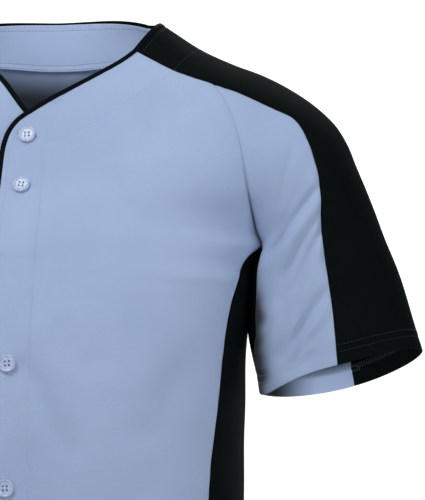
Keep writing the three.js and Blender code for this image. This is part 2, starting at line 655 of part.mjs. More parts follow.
// Facing: a band of the blue cloth inside the neck, from beside one button band to beside the other
function facingColumn([panel, j]) {
  const line = panel.outer.map((row, i) => row[j].clone().addScaledVector(panel.normals[i][j], -FACING_INSET));
  const rise = line[0].clone().sub(line[1]).setLength(FACING_RISE).add(line[0]);
  const points = [rise, ...line];
  const walked = [0];
  for (let i = 1; i < points.length; i++) walked.push(walked[i - 1] + points[i].distanceTo(points[i - 1]));
  return [0, FACING_RISE, FACING_DEPTH * 0.35, FACING_DEPTH * 0.7, FACING_DEPTH + FACING_RISE].map((depth) => {
    const next = clamp(walked.findIndex((length) => length >= depth), 1, points.length - 1);
    const share = (depth - walked[next - 1]) / (walked[next] - walked[next - 1]);
    return {
      point: points[next - 1].clone().lerp(points[next], share),
      normal: panel.normals[Math.min(next - 1, panel.normals.length - 1)][j],
    };
  });
}

const facingSide = (side) => neckColumns(side).slice(0, -FACING_END);
const facingColumns = [...facingSide('left').slice(1).reverse(), ...facingSide('right')]
  .filter((_, index) => index % 2 === 0).map(facingColumn);
const facingRows = facingColumns[0].map((_, depth) => facingColumns.map((entry) => entry[depth]));
add('back_neck_facing', wallGeometry(
  facingRows.map((row) => row.map(({ point }) => point)),
  facingRows.map((row) => row.map(({ point, normal }) => point.clone().addScaledVector(normal, -FACING_WALL))),
), 'blue');

// Buttons: a turned blank with a raised rim and four holes through it
function manifoldOf(geometry) {
  const welded = mergeVertices(new THREE.BufferGeometry()
    .setAttribute('position', geometry.getAttribute('position')).setIndex(geometry.index), 1e-4);
  return new wasm.Manifold(new wasm.Mesh({
    numProp: 3,
    vertProperties: welded.getAttribute('position').array,
    triVerts: new Uint32Array(welded.index.array),
  }));
}

function buttonGeometry() {
  const outline = [[0, 0], [BUTTON_RADIUS - 0.8, 0], [BUTTON_RADIUS, 0.9], [BUTTON_RADIUS, BUTTON_THICKNESS - 0.7],
    [BUTTON_RADIUS - 0.7, BUTTON_THICKNESS], [BUTTON_RADIUS - 1.7, BUTTON_THICKNESS], [BUTTON_RADIUS - 2.6, 2.1], [0, 2.1]];
  const blank = new THREE.LatheGeometry(outline.map(([x, y]) => new THREE.Vector2(x, y)), BUTTON_SIDES);
  let button = manifoldOf(blank);
  if (button.volume() < 0) throw new Error('the button is inside out');
  for (const x of [-1, 1]) {
    for (const z of [-1, 1]) {
      const hole = new THREE.CylinderGeometry(BUTTON_HOLE_RADIUS, BUTTON_HOLE_RADIUS, 3 * BUTTON_THICKNESS, HOLE_SIDES);
      hole.translate(x * BUTTON_HOLE_OFFSET, 0, z * BUTTON_HOLE_OFFSET);
      button = button.subtract(manifoldOf(hole));
    }
  }
  const mesh = button.getMesh();
  const geometry = new THREE.BufferGeometry();
  geometry.setAttribute('position', new THREE.BufferAttribute(mesh.vertProperties, 3));
  geometry.setIndex(new THREE.BufferAttribute(mesh.triVerts, 1));
  return geometry;
}

// The row where the centre front passes a height
function rowAtHeight(height) {
  let [above, below] = [0, BODY_END];
  for (let halving = 0; halving < 30; halving++) {
    const middle = (above + below) / 2;
    if (centrePoint(middle, false).z > height) above = middle;
    else below = middle;
  }
  return above;
}

// How far the made front stands out beneath a button, looking along the button's axis
function standsOut(frontMesh, centre, axis) {
  const ray = new THREE.Raycaster();
  const side = vector(1, 0, 0).cross(axis).normalize();
  let highest = -Infinity;
  for (let step = 0; step < BUTTON_SIDES; step++) {
    const turn = (2 * Math.PI * step) / BUTTON_SIDES;
    const start = centre.clone().addScaledVector(axis, 20).addScaledVector(side, BUTTON_RADIUS * Math.sin(turn));
    start.x += BUTTON_RADIUS * Math.cos(turn);
    ray.set(start, axis.clone().negate());
    const hit = ray.intersectObject(frontMesh)[0];
    highest = Math.max(highest, 20 - hit.distance);
  }
  return highest;
}

const frontMesh = jersey.getObjectByName('front_left');
BUTTON_HEIGHTS.forEach((height, index) => {
  const row = rowAtHeight(height);
  const centre = centrePoint(row, false).setX(BUTTON_X);
  const axis = centreNormal(row, false);
  const rest = centre.clone().addScaledVector(axis, standsOut(frontMesh, centre, axis) + SEAM_GAP);
  const button = add(`button_${index + 1}`, buttonGeometry(), 'button');
  button.quaternion.setFromUnitVectors(vector(0, 1, 0), axis);
  button.position.copy(rest);
});

export default jersey;
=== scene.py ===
# %% [markdown]
# # A baseball jersey in Blender
# The jersey is short-sleeved and opens down the whole front. It is made of a fine mesh knit in light blue,
# with black strips from the neck to the sleeve hems, black side panels and black piping. It keeps the
# shape of a body, with nobody in it, so the inside of the neck and of the cuffs can be seen.

# %% Load the frame
import math

import bpy
import numpy as np
from mathutils import Matrix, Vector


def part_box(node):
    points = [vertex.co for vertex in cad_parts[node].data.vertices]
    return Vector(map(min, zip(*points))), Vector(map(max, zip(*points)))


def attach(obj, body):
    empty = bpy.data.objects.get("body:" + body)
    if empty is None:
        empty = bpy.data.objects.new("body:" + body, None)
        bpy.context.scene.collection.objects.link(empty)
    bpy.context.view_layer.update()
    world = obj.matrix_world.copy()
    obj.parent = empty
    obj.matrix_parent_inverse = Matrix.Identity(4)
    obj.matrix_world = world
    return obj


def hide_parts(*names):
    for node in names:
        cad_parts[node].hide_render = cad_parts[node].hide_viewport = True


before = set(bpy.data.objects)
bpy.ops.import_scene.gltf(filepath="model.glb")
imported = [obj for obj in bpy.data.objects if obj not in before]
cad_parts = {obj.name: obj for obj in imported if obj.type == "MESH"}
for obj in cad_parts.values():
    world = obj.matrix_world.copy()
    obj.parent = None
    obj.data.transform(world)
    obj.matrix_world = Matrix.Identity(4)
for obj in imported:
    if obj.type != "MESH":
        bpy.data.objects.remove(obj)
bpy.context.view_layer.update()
print("solids:", len(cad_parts))

# %% [markdown]
# ## The sizes of the garment
# Cloth has no form of its own, so the form of a worn garment is easiest to state as sections, as on a
# dress form. Each row below is a section in millimetres: of the shoulder and sleeve, of the yoke, and of
# the body below. A smooth curve through the rows gives the surface anywhere between them, at any
# fineness.

# %% Sections of the sleeve, yoke and body
# topX, topY, topZ, underX, underZ, half depth in front, half depth at the back, raise of the back
ARM = np.array([
    (106, 15, -1, -15, -183, 52, 50, 199),
    (138, 12, -23, 66, -172, 62, 60, 112),
    (168, 10, -37, 111, -181, 68, 66, 60),
    (194, 7, -47.5, 130, -183, 68, 68, 32),
    (220.5, 4, -61.5, 150, -187, 67, 68, 15),
    (242.5, 1, -76, 170, -189, 65, 66, 6),
    (259, 0, -92, 182, -190, 63, 64, 0),
    (270, -1, -110, 189, -197, 61, 62, 0),
    (277.5, -2, -128, 193.5, -205, 60, 60, 0),
    (286, -3, -148, 189.6, -216, 58, 58, 0),
    (294.5, -4, -169, 187.6, -231, 56, 56, 0),
    (303.5, -4, -192, 185.9, -248, 54, 54, 0),
    (313, -5, -216, 184.6, -267, 52, 53, 0),
    (322, -5, -244, 187, -290, 51, 52, 0),
    (336, -5, -289.5, 194, -326, 50, 51, 0),
], float)
# angles from the top to the strip's front edge, the strip's back edge, and the sleeve seam
ARM_SEAMS = np.array([
    (45, 45, 45), (48, 48, 48), (47, 47, 47), (47, 47, 64), (47, 47, 87), (46, 48, 113), (54, 55, 133),
    (60, 60, 146), (64, 64, 150), (69, 69, 152), (74, 73, 152), (77, 76, 151), (79, 79, 151),
    (81.5, 82, 153), (87.5, 85, 180),
], float)
# depth and height of the centre front, depth and height of the centre back
YOKE = np.array([
    (60, -74, 80, 8), (66, -92, 86, -14), (73.5, -109, 92, -37),
    (83, -128, 98, -64), (93.5, -148, 104, -93), (103.5, -168, 108.5, -124),
    (111.5, -185, 111, -153), (118, -199, 111.5, -179), (122.5, -210, 111.5, -200),
], float)
# height, half width, depth in front, depth at the back, and how far the side panel reaches to each side
BODY = np.array([
    (-217, 187.5, 125.5, 111, 22, 46),
    (-230, 186.3, 130.5, 110.5, 31, 49),
    (-247, 184.6, 136, 109.5, 41, 52),
    (-279, 182.2, 144, 107, 51, 57),
    (-336, 181, 150.5, 102, 61.5, 63),
    (-418, 179.8, 153, 99, 73, 70),
    (-570, 182, 151, 101, 80.5, 77),
    (-755, 186, 150, 106, 85, 82),
], float)
SEAM_START, UNDERARM, HEM_START = 2, 8, 9
SLEEVE_END = len(ARM) - 1
GUSSET_END = 13.75
BODY_END = UNDERARM + len(BODY)
HEM_TILT, HEM_BOW, HEM_LIP = 8, 5, 6.5
BODY_MIDDLE, BODY_SQUARENESS = -18, 2.5
print("sections: sleeve", len(ARM), "yoke", len(YOKE), "body", len(BODY))

# %% [markdown]
# The curve through the rows is a Catmull-Rom spline: it passes through every value and needs no handles.
# numpy works it out for a whole grid of points at once, which keeps the script quick.

# %% A smooth curve through the rows
def curve(a, b, c, d, share):
    slope, next_slope, rise = (c - a) / 2, (d - b) / 2, c - b
    turn = 3 * rise - 2 * slope - next_slope
    return b + share * (slope + share * (turn + share * (slope + next_slope - 2 * rise)))


def with_ends(values):
    return np.concatenate([[2 * values[0] - values[1]], values, [2 * values[-1] - values[-2]]])


def through(values, at):
    values, at = np.asarray(values, float), np.asarray(at, float)
    start = np.clip(np.floor(at), 0, len(values) - 2).astype(int)
    padded = with_ends(values)
    return curve(*(padded[start + step] for step in range(4)), at - start)


def smooth(value):
    value = np.clip(value, 0, 1)
    return value * value * (3 - 2 * value)


def lerp(a, b, share):
    return a + (b - a) * share


def unit(vectors):
    return vectors / np.maximum(np.linalg.norm(vectors, axis=-1, keepdims=True), 1e-12)


def stack(x, y, z):
    return np.stack(np.broadcast_arrays(x, y, z), -1)


# %% [markdown]
# ## Shoulder, sleeve and body surfaces
# The shoulder and sleeve form one bent tube. A point on it has a section number and an angle, which
# starts at the top and runs to the front. Seams are lines on this tube, so the panels on both sides of a
# seam always meet.

# %% The sleeve's surface
def arm_point(section, angle):
    sizes = (through(ARM[:, column], section) for column in range(8))
    top_x, top_y, top_z, under_x, under_z, front, back, lift = sizes
    turn = np.radians(angle)
    drop = (1 - np.cos(turn)) / 2
    aside = np.sin(turn)
    ahead = np.asarray(angle) >= 0
    hem = (np.maximum(0, section - HEM_START) / (SLEEVE_END - HEM_START)) ** 1.5
    lip = smooth((np.asarray(angle) - 100) / 50) * smooth((180 - np.asarray(angle)) / 26)
    edge = HEM_TILT * aside - HEM_BOW * aside ** 2 - HEM_LIP * lip * hem
    z = lerp(top_z, under_z, drop) + np.where(ahead, 0, drop * lift) + hem * edge
    return stack(lerp(top_x, under_x, drop), top_y - aside * np.where(ahead, front, back), z)


def arm_normal(section, angle):
    around = arm_point(section, angle + 1) - arm_point(section, angle - 1)
    along = arm_point(section + 0.02, angle) - arm_point(section - 0.02, angle)
    return unit(np.cross(around, along))


def strip_angle(section):
    return through(ARM_SEAMS[:, 0], section)


def strip_back_angle(section):
    return -through(ARM_SEAMS[:, 1], section)


def seam_angle(section):
    section = np.asarray(section, float)
    seams = ARM_SEAMS[SEAM_START:UNDERARM + 1, 2]
    narrow = smooth((section - GUSSET_END + 1.3) / 1.3)
    low = lerp(ARM_SEAMS[UNDERARM, 2], 180, narrow)
    middle = through(seams, section - SEAM_START)
    return np.where(section <= SEAM_START, strip_angle(section), np.where(section <= UNDERARM, middle, low))


# %% The body's surface below the arms
def ring_point(row, side):
    z, half, front, back, panel_front, panel_back = row
    ahead, behind = front + BODY_MIDDLE, back - BODY_MIDDLE
    power = BODY_SQUARENESS / 2
    turn = lerp(-math.asin((panel_front / ahead) ** power), math.asin((panel_back / behind) ** power), side)
    reach = np.where(turn < 0, ahead, behind)
    y = BODY_MIDDLE + np.sign(turn) * reach * np.abs(np.sin(turn)) ** (1 / power)
    return stack(half * np.cos(turn) ** (1 / power), y, z)


def side_point(row, side):
    row, side = np.broadcast_arrays(np.asarray(row, float), np.asarray(side, float))
    edge = ARM_SEAMS[UNDERARM, 2]
    angle = np.where(side < 0.5, lerp(edge, 180, side * 2), lerp(-180, -edge, side * 2 - 1))
    points = np.stack([arm_point(UNDERARM, angle)] + [ring_point(section, side) for section in BODY])
    at = row - UNDERARM
    start = np.clip(np.floor(at), 0, len(points) - 2).astype(int)
    padded = with_ends(points)
    near = (np.take_along_axis(padded, (start + step)[None, ..., None], 0)[0] for step in range(4))
    return curve(*near, (at - start)[..., None])


def side_normal(row, side):
    around = side_point(row, np.minimum(side + 0.02, 1)) - side_point(row, np.maximum(side - 0.02, 0))
    down = side_point(row + 0.02, side) - side_point(row - 0.02, side)
    return unit(np.cross(down, around))


print("underarm point, mm:", np.round(side_point(UNDERARM, 0.5), 1))

# %% [markdown]
# ## Front and back surfaces
# A front or back panel runs from the centre line to the seams at its side. Its surface is bridged between
# the two with curves that leave each edge square to the cloth there, so the chest rounds over as it does
# on a body.

# %% The panels' edges and the way they face
def panel_edge(row, back):
    row = np.asarray(row, float)
    upper = np.minimum(row, UNDERARM)
    angle = seam_angle(upper)
    on_arm = arm_point(upper, -angle if back else angle)
    on_side = side_point(np.maximum(row, UNDERARM), np.full(row.shape, 1.0 if back else 0.0))
    return np.where((row <= UNDERARM)[..., None], on_arm, on_side)


def facing_of(normal):
    return np.arctan2(normal[..., 0], np.abs(normal[..., 1])), np.arcsin(normal[..., 2])


def panel_edge_normal(row, back):
    row = np.asarray(row, float)
    side = 1.0 if back else 0.0
    joined = UNDERARM + 2
    first = np.array(float(SEAM_START))
    strip = strip_back_angle if back else strip_angle
    start = facing_of(arm_normal(first, strip(first)))
    end = facing_of(side_normal(np.array(float(joined)), np.array(side)))
    top, low = panel_edge(first, back)[2], panel_edge(np.array(float(joined)), back)[2]
    share = np.clip((panel_edge(row, back)[..., 2] - top) / (low - top), 0, 1)
    turn, lift = lerp(start[0], end[0], share ** 1.5), lerp(start[1], end[1], share ** 0.8)
    level = np.cos(lift)
    between = stack(np.sin(turn) * level, (1 if back else -1) * np.cos(turn) * level, np.sin(lift))
    above = arm_normal(np.minimum(row, SEAM_START), strip(np.minimum(row, SEAM_START)))
    below = side_normal(np.maximum(row, joined), np.full(row.shape, side))
    upper = np.where((row <= SEAM_START)[..., None], above, between)
    return np.where((row >= joined)[..., None], below, upper)


def centre_point(row, back):
    if back:
        depth, height = np.r_[YOKE[:, 2], BODY[:, 3]], np.r_[YOKE[:, 3], BODY[:, 0]]
    else:
        depth, height = -np.r_[YOKE[:, 0], BODY[:, 2]], np.r_[YOKE[:, 1], BODY[:, 0]]
    return stack(0.0, through(depth, row), through(height, row))


def centre_normal(row, back):
    down = centre_point(row + 0.05, back) - centre_point(row - 0.05, back)
    facing = 1 if back else -1
    return unit(stack(0.0, -facing * down[..., 2], facing * down[..., 1]))


# %% The bridge from the centre to the seams
SWELL_ROW, SWELL_SPREAD, SWELL_SHARE = 8, 1.9, 0.38
# neckline of each front: depth of the point in rows, how fast it falls off, and how far it sags halfway
NECK = {"left": (0.72, 3, 0.18), "right": (0.72, 3.6, -0.42), "back": None}
NECK_FADE = 4


def on_plane(vector, normal):
    return unit(vector - normal * (vector * normal).sum(-1, keepdims=True))


def bridge(start, start_normal, end, end_normal, at, swell):
    chord = end - start
    leave, arrive = on_plane(chord, start_normal), on_plane(chord, end_normal)
    angle = np.arccos(np.clip((leave * arrive).sum(-1), -1, 1))
    fullness = (np.linalg.norm(chord, axis=-1) / np.cos(angle / 4) ** 2)[..., None]
    t = at[..., None]
    return (start * (2 * t ** 3 - 3 * t ** 2 + 1) + leave * (t ** 3 - 2 * t ** 2 + t) * fullness
            + end * (3 * t ** 2 - 2 * t ** 3) + arrive * (t ** 3 - t ** 2) * fullness * swell[..., None])


def sunk_row(row, across, neck):
    point, power, sag = neck
    out = np.maximum(across, 0)
    depth = point * (1 - out) ** power + 4 * sag * out * (1 - out)
    return row + depth * np.maximum(0, 1 - row / NECK_FADE)


def panel_point(row, across, neck):
    row, across = np.broadcast_arrays(np.asarray(row, float), np.asarray(across, float))
    back = neck is None
    if not back:
        row = sunk_row(row, across, neck)
    swell = 1 + SWELL_SHARE * np.exp(-((row - SWELL_ROW) / SWELL_SPREAD) ** 2)
    point = bridge(centre_point(row, back), centre_normal(row, back),
                   panel_edge(row, back), panel_edge_normal(row, back), np.abs(across), swell)
    point[..., 0] *= np.where(across < 0, -1, 1)
    return point


print("front neck corner, mm:", np.round(panel_point(0.0, 0.0, NECK["left"]), 1))

# %% [markdown]
# ## Folds and creases
# A worn jersey is never smooth. Each row is one soft fold, laid along a line in the view that it is seen
# from. A negative height is a trough. The first lists hold the broad folds, which the solids have too. The
# finer ones after them are only here: drags at the armpit, pulls at the buttons, and slack over the waist.

# %% Folds of the front, of the back and of the sleeves
# x and z of one end, x and z of the other, width, height
FRONT_FOLDS = np.array([
    (247, -158, 205, -208, 9, -2.6), (243, -198, 214, -254, 8, -2.2), (252, -206, 226, -268, 7, -1.8),
    (254, -246, 220, -298, 8, -2.2), (212, -290, 201, -318, 6, -1.6), (30, -185, 26, -262, 11, -2.4),
    (44, -268, 68, -312, 12, -2.4), (16, -308, 56, -382, 11, -3), (-14, -236, 4, -292, 9, -1.8),
    (-92, -300, -120, -430, 16, -3), (-40, -330, -62, -470, 14, -3), (96, -450, 112, -790, 20, -5),
    (-86, -480, -104, -790, 20, -5), (45, -560, 40, -790, 17, 3.4), (-50, -590, -48, -790, 17, 3.4),
    (150, -300, 118, -368, 14, -2.4),
], float)
BACK_FOLDS = np.array([
    (250, -150, 206, -206, 8, -3.4), (254, -200, 216, -262, 7, -3), (262, -244, 224, -300, 7, -2.8),
    (-246, -158, -204, -212, 7, -3.2), (-256, -214, -218, -280, 7, -3), (126, -150, 84, -300, 15, -5.4),
    (-134, -160, -90, -320, 15, -5.2), (36, -300, 52, -790, 18, -7.6), (-44, -340, -60, -790, 18, -7.4),
    (118, -380, 124, -790, 16, -6.4), (-122, -420, -124, -790, 16, -6.2),
], float)
FINE_FRONT = np.array([
    (252, -152, 211, -203, 3, -3.1), (255, -162, 215, -214, 4, 1.8), (252, -178, 220, -228, 2.8, -2.5),
    (254, -190, 229, -242, 3, -3.2), (256, -204, 236, -250, 4, 1.6), (246, -220, 222, -268, 2.8, -1.9),
    (257, -242, 228, -282, 3, -2.8), (260, -254, 234, -292, 4, 1.5), (250, -276, 222, -308, 2.8, -1.9),
    (212, -250, 210, -318, 5, 1.2), (230, -122, 213, -192, 4, -1.5), (240, -148, 214, -192, 3.6, -1.2),
    (260, -190, 238, -232, 5, 1.2), (240, -262, 217, -302, 3.6, -1.4), (262, -264, 240, -306, 4.4, -1.4),
    (226, -176, 204, -212, 3.5, -1.1), (236, -196, 216, -250, 3.4, -1.4), (224, -246, 212, -296, 3.2, -1.5),
    (246, -294, 226, -312, 2.6, -1.2), (268, -216, 262, -258, 4, -1.2),
    (60, -118, 128, -160, 8, -0.9), (46, -142, 104, -196, 9, 0.8), (150, -92, 168, -150, 7, -0.8),
    (58, -196, 66, -250, 8, -0.7), (12, -200, 15, -262, 5, -0.8), (30, -330, 44, -392, 6, -0.9),
    (84, -300, 118, -338, 9, -0.8), (130, -330, 150, -420, 8, -0.8), (6, -300, 32, -322, 4, -0.8),
    (-26, -170, -34, -250, 8, -0.9), (-60, -250, -82, -330, 8, -0.9), (-70, -420, -84, -520, 10, -1.2),
    (70, -430, 84, -560, 10, -1.2), (-236, -152, -208, -200, 6, -1.4), (-252, -196, -222, -250, 6, -1.3),
    (-256, -236, -228, -290, 6, -1.2), (-206, -262, -209, -312, 4, -1.2), (-130, -310, -150, -400, 9, -0.9),
    (128, -560, 140, -740, 10, -1.5), (-128, -580, -142, -750, 10, -1.5), (72, -640, 76, -770, 9, 1.2),
    (6, -430, 12, -492, 5, -0.7), (-6, -530, -14, -610, 6, -0.9), (6, -640, 20, -720, 7, -0.9),
], float)
FINE_BACK = np.array([
    (238, -160, 208, -196, 4, -2), (246, -214, 222, -256, 4, -2), (-240, -184, -214, -226, 4, -2),
    (-258, -250, -228, -296, 4, -2.1), (60, -90, 104, -200, 8, -2), (-58, -96, -98, -210, 8, -1.9),
    (10, -40, 14, -150, 10, -1.4), (86, -240, 100, -420, 9, -2.6), (-90, -260, -98, -430, 9, -2.5),
    (-6, -380, 2, -620, 9, 2.4), (84, -520, 90, -780, 9, 2.8), (-88, -540, -92, -780, 9, 2.8),
    (4, -600, 0, -780, 9, -3), (148, -420, 152, -700, 7, -1.8), (-148, -440, -152, -720, 7, -1.8),
    (172, -206, 120, -268, 7, -2.6), (-170, -210, -116, -280, 7, -2.4), (176, -240, 138, -292, 6, -1.8),
    (-174, -246, -134, -300, 6, -1.7), (30, -250, 62, -330, 9, -1.6), (-24, -420, -46, -520, 8, -1.7),
], float)
FOLD_MEETING, FOLD_BLEND = -10, 36


def folds_height(x, z, folds):
    height = np.zeros_like(x)
    for x0, z0, x1, z1, width, rise in folds:
        run_x, run_z = x1 - x0, z1 - z0
        length = math.hypot(run_x, run_z)
        along = ((x - x0) * run_x + (z - z0) * run_z) / length ** 2
        aside = ((x - x0) * run_z - (z - z0) * run_x) / length
        ends = smooth((0.5 - np.abs(along - 0.5)) / 0.35 + 0.6)
        height += rise * ends * np.exp(-(aside / width) ** 2)
    return height


def fold_height(points):
    x, y, z = points[..., 0], points[..., 1], points[..., 2]
    share = smooth((y - FOLD_MEETING) / FOLD_BLEND + 0.5)
    front = folds_height(x, z, FRONT_FOLDS) + folds_height(x, z, FINE_FRONT)
    back = folds_height(x, z, BACK_FOLDS) + folds_height(x, z, FINE_BACK)
    return (1 - share) * front + share * back


print("folds:", sum(len(folds) for folds in (FRONT_FOLDS, BACK_FOLDS, FINE_FRONT, FINE_BACK)))

# %% [markdown]
# ## How a panel becomes cloth
# A panel is a grid of points on its surface. The grid is finest beside the seams, where cloth bends most.
# The points are pushed out or in by the folds, and a second grid a cloth's thickness inside closes the
# shell. A hem is turned up inside, so its last part is two cloths thick, with a small step where the raw
# edge lies.

# %% Grids that are even along each row
GRID_STEP = 3.6
CLOTH = 1.2
HEM_TURN = 18.5
BESIDE_SEAM = np.array([0, 0.6, 1.5, 2.8])
FULL_MARGIN_ROW = 24
ROW_SAMPLES = 48


def distances(points, axis):
    step = np.linalg.norm(np.diff(points, axis=axis), axis=-1)
    first = np.zeros_like(np.take(step, [0], axis))
    return np.concatenate([first, np.cumsum(step, axis)], axis)


def rows_between(line, first, last, hem_length=None):
    rows = np.linspace(first, last, 600)
    walked = distances(line(rows)[None], 1)[0]
    count = int(math.ceil(walked[-1] / GRID_STEP))
    rows = np.interp(np.linspace(0, walked[-1], count + 1), walked, rows)
    if hem_length is None:
        return rows
    special = last - np.array([HEM_TURN + 0.5, HEM_TURN, 1.4, 0.6, 0]) / hem_length
    kept = [row for row in rows if np.abs(row - special).min() > 1.2 / hem_length]
    return np.sort(np.r_[kept, special])


def at_distances(wanted, walked, values):
    return np.stack([np.interp(wanted, walked, values[:, k]) for k in range(3)], -1)


def even_grid(point_at, rows, start, end):
    rows = np.asarray(rows, float)[:, None]
    start, end = (np.broadcast_to(edge, len(rows)).astype(float)[:, None] for edge in (start, end))
    places = lerp(start, end, np.linspace(0, 1, ROW_SAMPLES + 1)[None])
    walked = distances(point_at(rows, places), 1)
    total = walked[:, -1]
    columns = max(2, int(math.ceil((total.max() - 2 * BESIDE_SEAM[-1]) / GRID_STEP)))
    wanted = []
    for length in total:
        near = BESIDE_SEAM * min(1, length / FULL_MARGIN_ROW)
        between = np.linspace(near[-1], length - near[-1], columns + 1)
        wanted.append(np.r_[near[:-1], between, (length - near[:-1])[::-1]])
    places = np.stack([np.interp(want, walk, place) for want, walk, place in zip(wanted, walked, places)])
    return point_at(rows, places)


# %% Walls that share one direction at a seam
def panel_seam(row, back):
    row = np.asarray(row, float)
    upper = np.minimum(row, UNDERARM)
    angle = seam_angle(upper)
    shared = unit(arm_normal(upper, -angle if back else angle) + panel_edge_normal(upper, back))
    below = side_normal(np.maximum(row, UNDERARM), np.full(row.shape, 1.0 if back else 0.0))
    share = smooth(row - UNDERARM)[..., None]
    return unit(lerp(shared, below, share))


def sleeve_seam(row, angle):
    row = np.asarray(row, float)
    turn = np.where(angle > 180, angle - 360, angle)
    own = arm_normal(row, turn)
    at_seam = np.abs(np.abs(turn) - seam_angle(row)) < 1e-6
    shared = np.where((turn < 0)[..., None], panel_seam(np.minimum(row, UNDERARM), True),
                      panel_seam(np.minimum(row, UNDERARM), False))
    blended = unit(lerp(shared, own, smooth(row - UNDERARM)[..., None]))
    return np.where(at_seam[..., None], blended, own)


# a panel's corner is too sharp for a normal of its own, so it takes that of the cloth just inside it
def grid_normals(grid, away_from):
    across, along = np.gradient(grid, axis=1), np.gradient(grid, axis=0)
    normals = unit(np.cross(across, along))
    for i, within_i in ((0, 2), (-1, -3)):
        for j, within_j in ((0, 2), (-1, -3)):
            normals[i, j] = normals[within_i, within_j]
    i, j = grid.shape[0] // 2, grid.shape[1] // 2
    outward = 1 if (grid[i, j] - away_from) @ normals[i, j] > 0 else -1
    return normals * outward, outward


# %% [markdown]
# ## From points to a mesh
# Every cloth piece gets a UV map laid out in metres, like its paper pattern, so the knit keeps its real
# size and runs with the cloth instead of sliding over it.

# %% Meshes, and shells with a hem
MM = 0.001
INNER_UV = (900, 0)
BLUE, BLACK = "mesh_knit_blue", "mesh_knit_black"
pieces = {}


def linked(name, data):
    thing = bpy.data.objects.new(name, data)
    bpy.context.scene.collection.objects.link(thing)
    return thing


def make_piece(name, vertices, faces, uv, slot, node=None, inside=None):
    mesh = bpy.data.meshes.new(name)
    mesh.from_pydata((np.asarray(vertices) * MM).tolist(), [], faces)
    mesh.polygons.foreach_set("use_smooth", np.ones(len(mesh.polygons), bool))
    corners = np.zeros(len(mesh.loops), np.int32)
    mesh.loops.foreach_get("vertex_index", corners)
    flat = (np.asarray(uv) * MM)[corners].astype(np.float32)
    mesh.uv_layers.new(name="cut").data.foreach_set("uv", flat.ravel())
    # painted shade and painted glow, kept at each point for the material
    for key, values in (inside or {}).items():
        mesh.attributes.new(key, "FLOAT", "POINT").data.foreach_set("value", np.asarray(values, np.float32))
    mesh.validate()
    piece = linked(f"{name}_cloth" if node else name, mesh)
    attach(piece, "root")
    if node:
        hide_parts(node)
    pieces[name] = piece


def tube_faces(index, inward=False):
    turned = np.roll(index, -1, 1)
    if inward:
        return np.stack([index[:-1], index[1:], turned[1:], turned[:-1]], -1).reshape(-1, 4)
    return np.stack([index[:-1], turned[:-1], turned[1:], index[1:]], -1).reshape(-1, 4)


def shell_faces(rows, columns, outward):
    outer, inner = np.arange(2 * rows * columns).reshape(2, rows, columns)
    outside = [outer[:-1, :-1], outer[:-1, 1:], outer[1:, 1:], outer[1:, :-1]]
    inside = [inner[:-1, :-1], inner[1:, :-1], inner[1:, 1:], inner[:-1, 1:]]
    faces = [np.stack(corners, -1).reshape(-1, 4) for corners in (outside, inside)]
    for a, b, flip in ((outer[:, 0], inner[:, 0], False), (outer[:, -1], inner[:, -1], True),
                       (outer[0], inner[0], True), (outer[-1], inner[-1], False)):
        band = np.stack([a[:-1], a[1:], b[1:], b[:-1]], -1)
        faces.append(band[:, ::-1] if flip else band)
    faces = np.concatenate(faces)
    return (faces if outward > 0 else faces[:, ::-1]).tolist()


RIPPLES = ((2.9, 1), (4.3, 2.1), (7.1, 3.7))  # length in mm, and how far its start shifts with the seed
SLACK_HEIGHT = 0.35


def ripple(along, seed):
    return sum(np.sin(along / length + shift * seed) for length, shift in RIPPLES) / len(RIPPLES)


def slack(points):
    x, y, z = points[..., 0], points[..., 1], points[..., 2]
    broad = np.sin(x / 13 + z / 29 + 1) * np.sin(z / 17 - y / 23)
    return SLACK_HEIGHT * (broad + np.sin(x / 31 - z / 11 + y / 19 + 2) / 2)


# %% [markdown]
# A line of stitching pulls the cloth down into a small valley and puckers it beside the line. The same
# short function does this for the seams, the edge stitch at the piping, the button band, the neck facing
# and the hems.

# %% What sewing does to the cloth
FACING_LINE, EDGE_STITCH, BAND_WIDTH = 41, 4.6, 37
HEM_LINES = (10.5, 16.5)
NIP_HEIGHT, NIP_SPREAD = -196, 30  # the seams are pulled in most beside the underarm
UNDERARM_FULL, UNDERARM_FULL_HEIGHT, UNDERARM_FULL_SPREAD = 1.7, -243, 34


def mound(distance, width):
    return np.exp(-(distance / width) ** 2)


def valley(distance, depth, width):
    return -depth * mound(distance, width)


def seam_height(grid, from_seam, along):
    nip = mound(grid[..., 2] - NIP_HEIGHT, NIP_SPREAD)
    ditch = valley(from_seam, 0.75 + 2.6 * nip, 1.7 + 1.6 * nip)
    return ditch + 0.22 * ripple(along, 1.3) * mound(from_seam, 8)


def neck_height(from_top, from_start, across, band):
    inside_band = smooth((from_start - BAND_WIDTH) / 3) if band else 1.0
    line = np.abs(from_top - FACING_LINE)
    facing = valley(line, 0.4, 1.5) + 0.25 * ripple(across, 0.7) * mound(line, 7)
    return valley(from_top - EDGE_STITCH, 0.3, 1.1) + inside_band * facing


def band_height(from_start, from_top, along):
    line = np.abs(from_start - BAND_WIDTH)
    below = smooth((from_top - FACING_LINE + 8) / 10)
    stitched = below * (valley(line, 0.5, 1.5) + 0.3 * ripple(along, 2.2) * mound(line, 8))
    folded_over = 0.4 * (1 - smooth((from_start - BAND_WIDTH + 2) / 2))
    return valley(from_start - EDGE_STITCH, 0.3, 1.1) + stitched + folded_over


def hem_height(from_hem, across):
    lines = sum(valley(from_hem - line, 0.35, 1.1) for line in HEM_LINES)
    return lines + 0.25 * ripple(across, 1.9) * mound(from_hem - 13, 8)
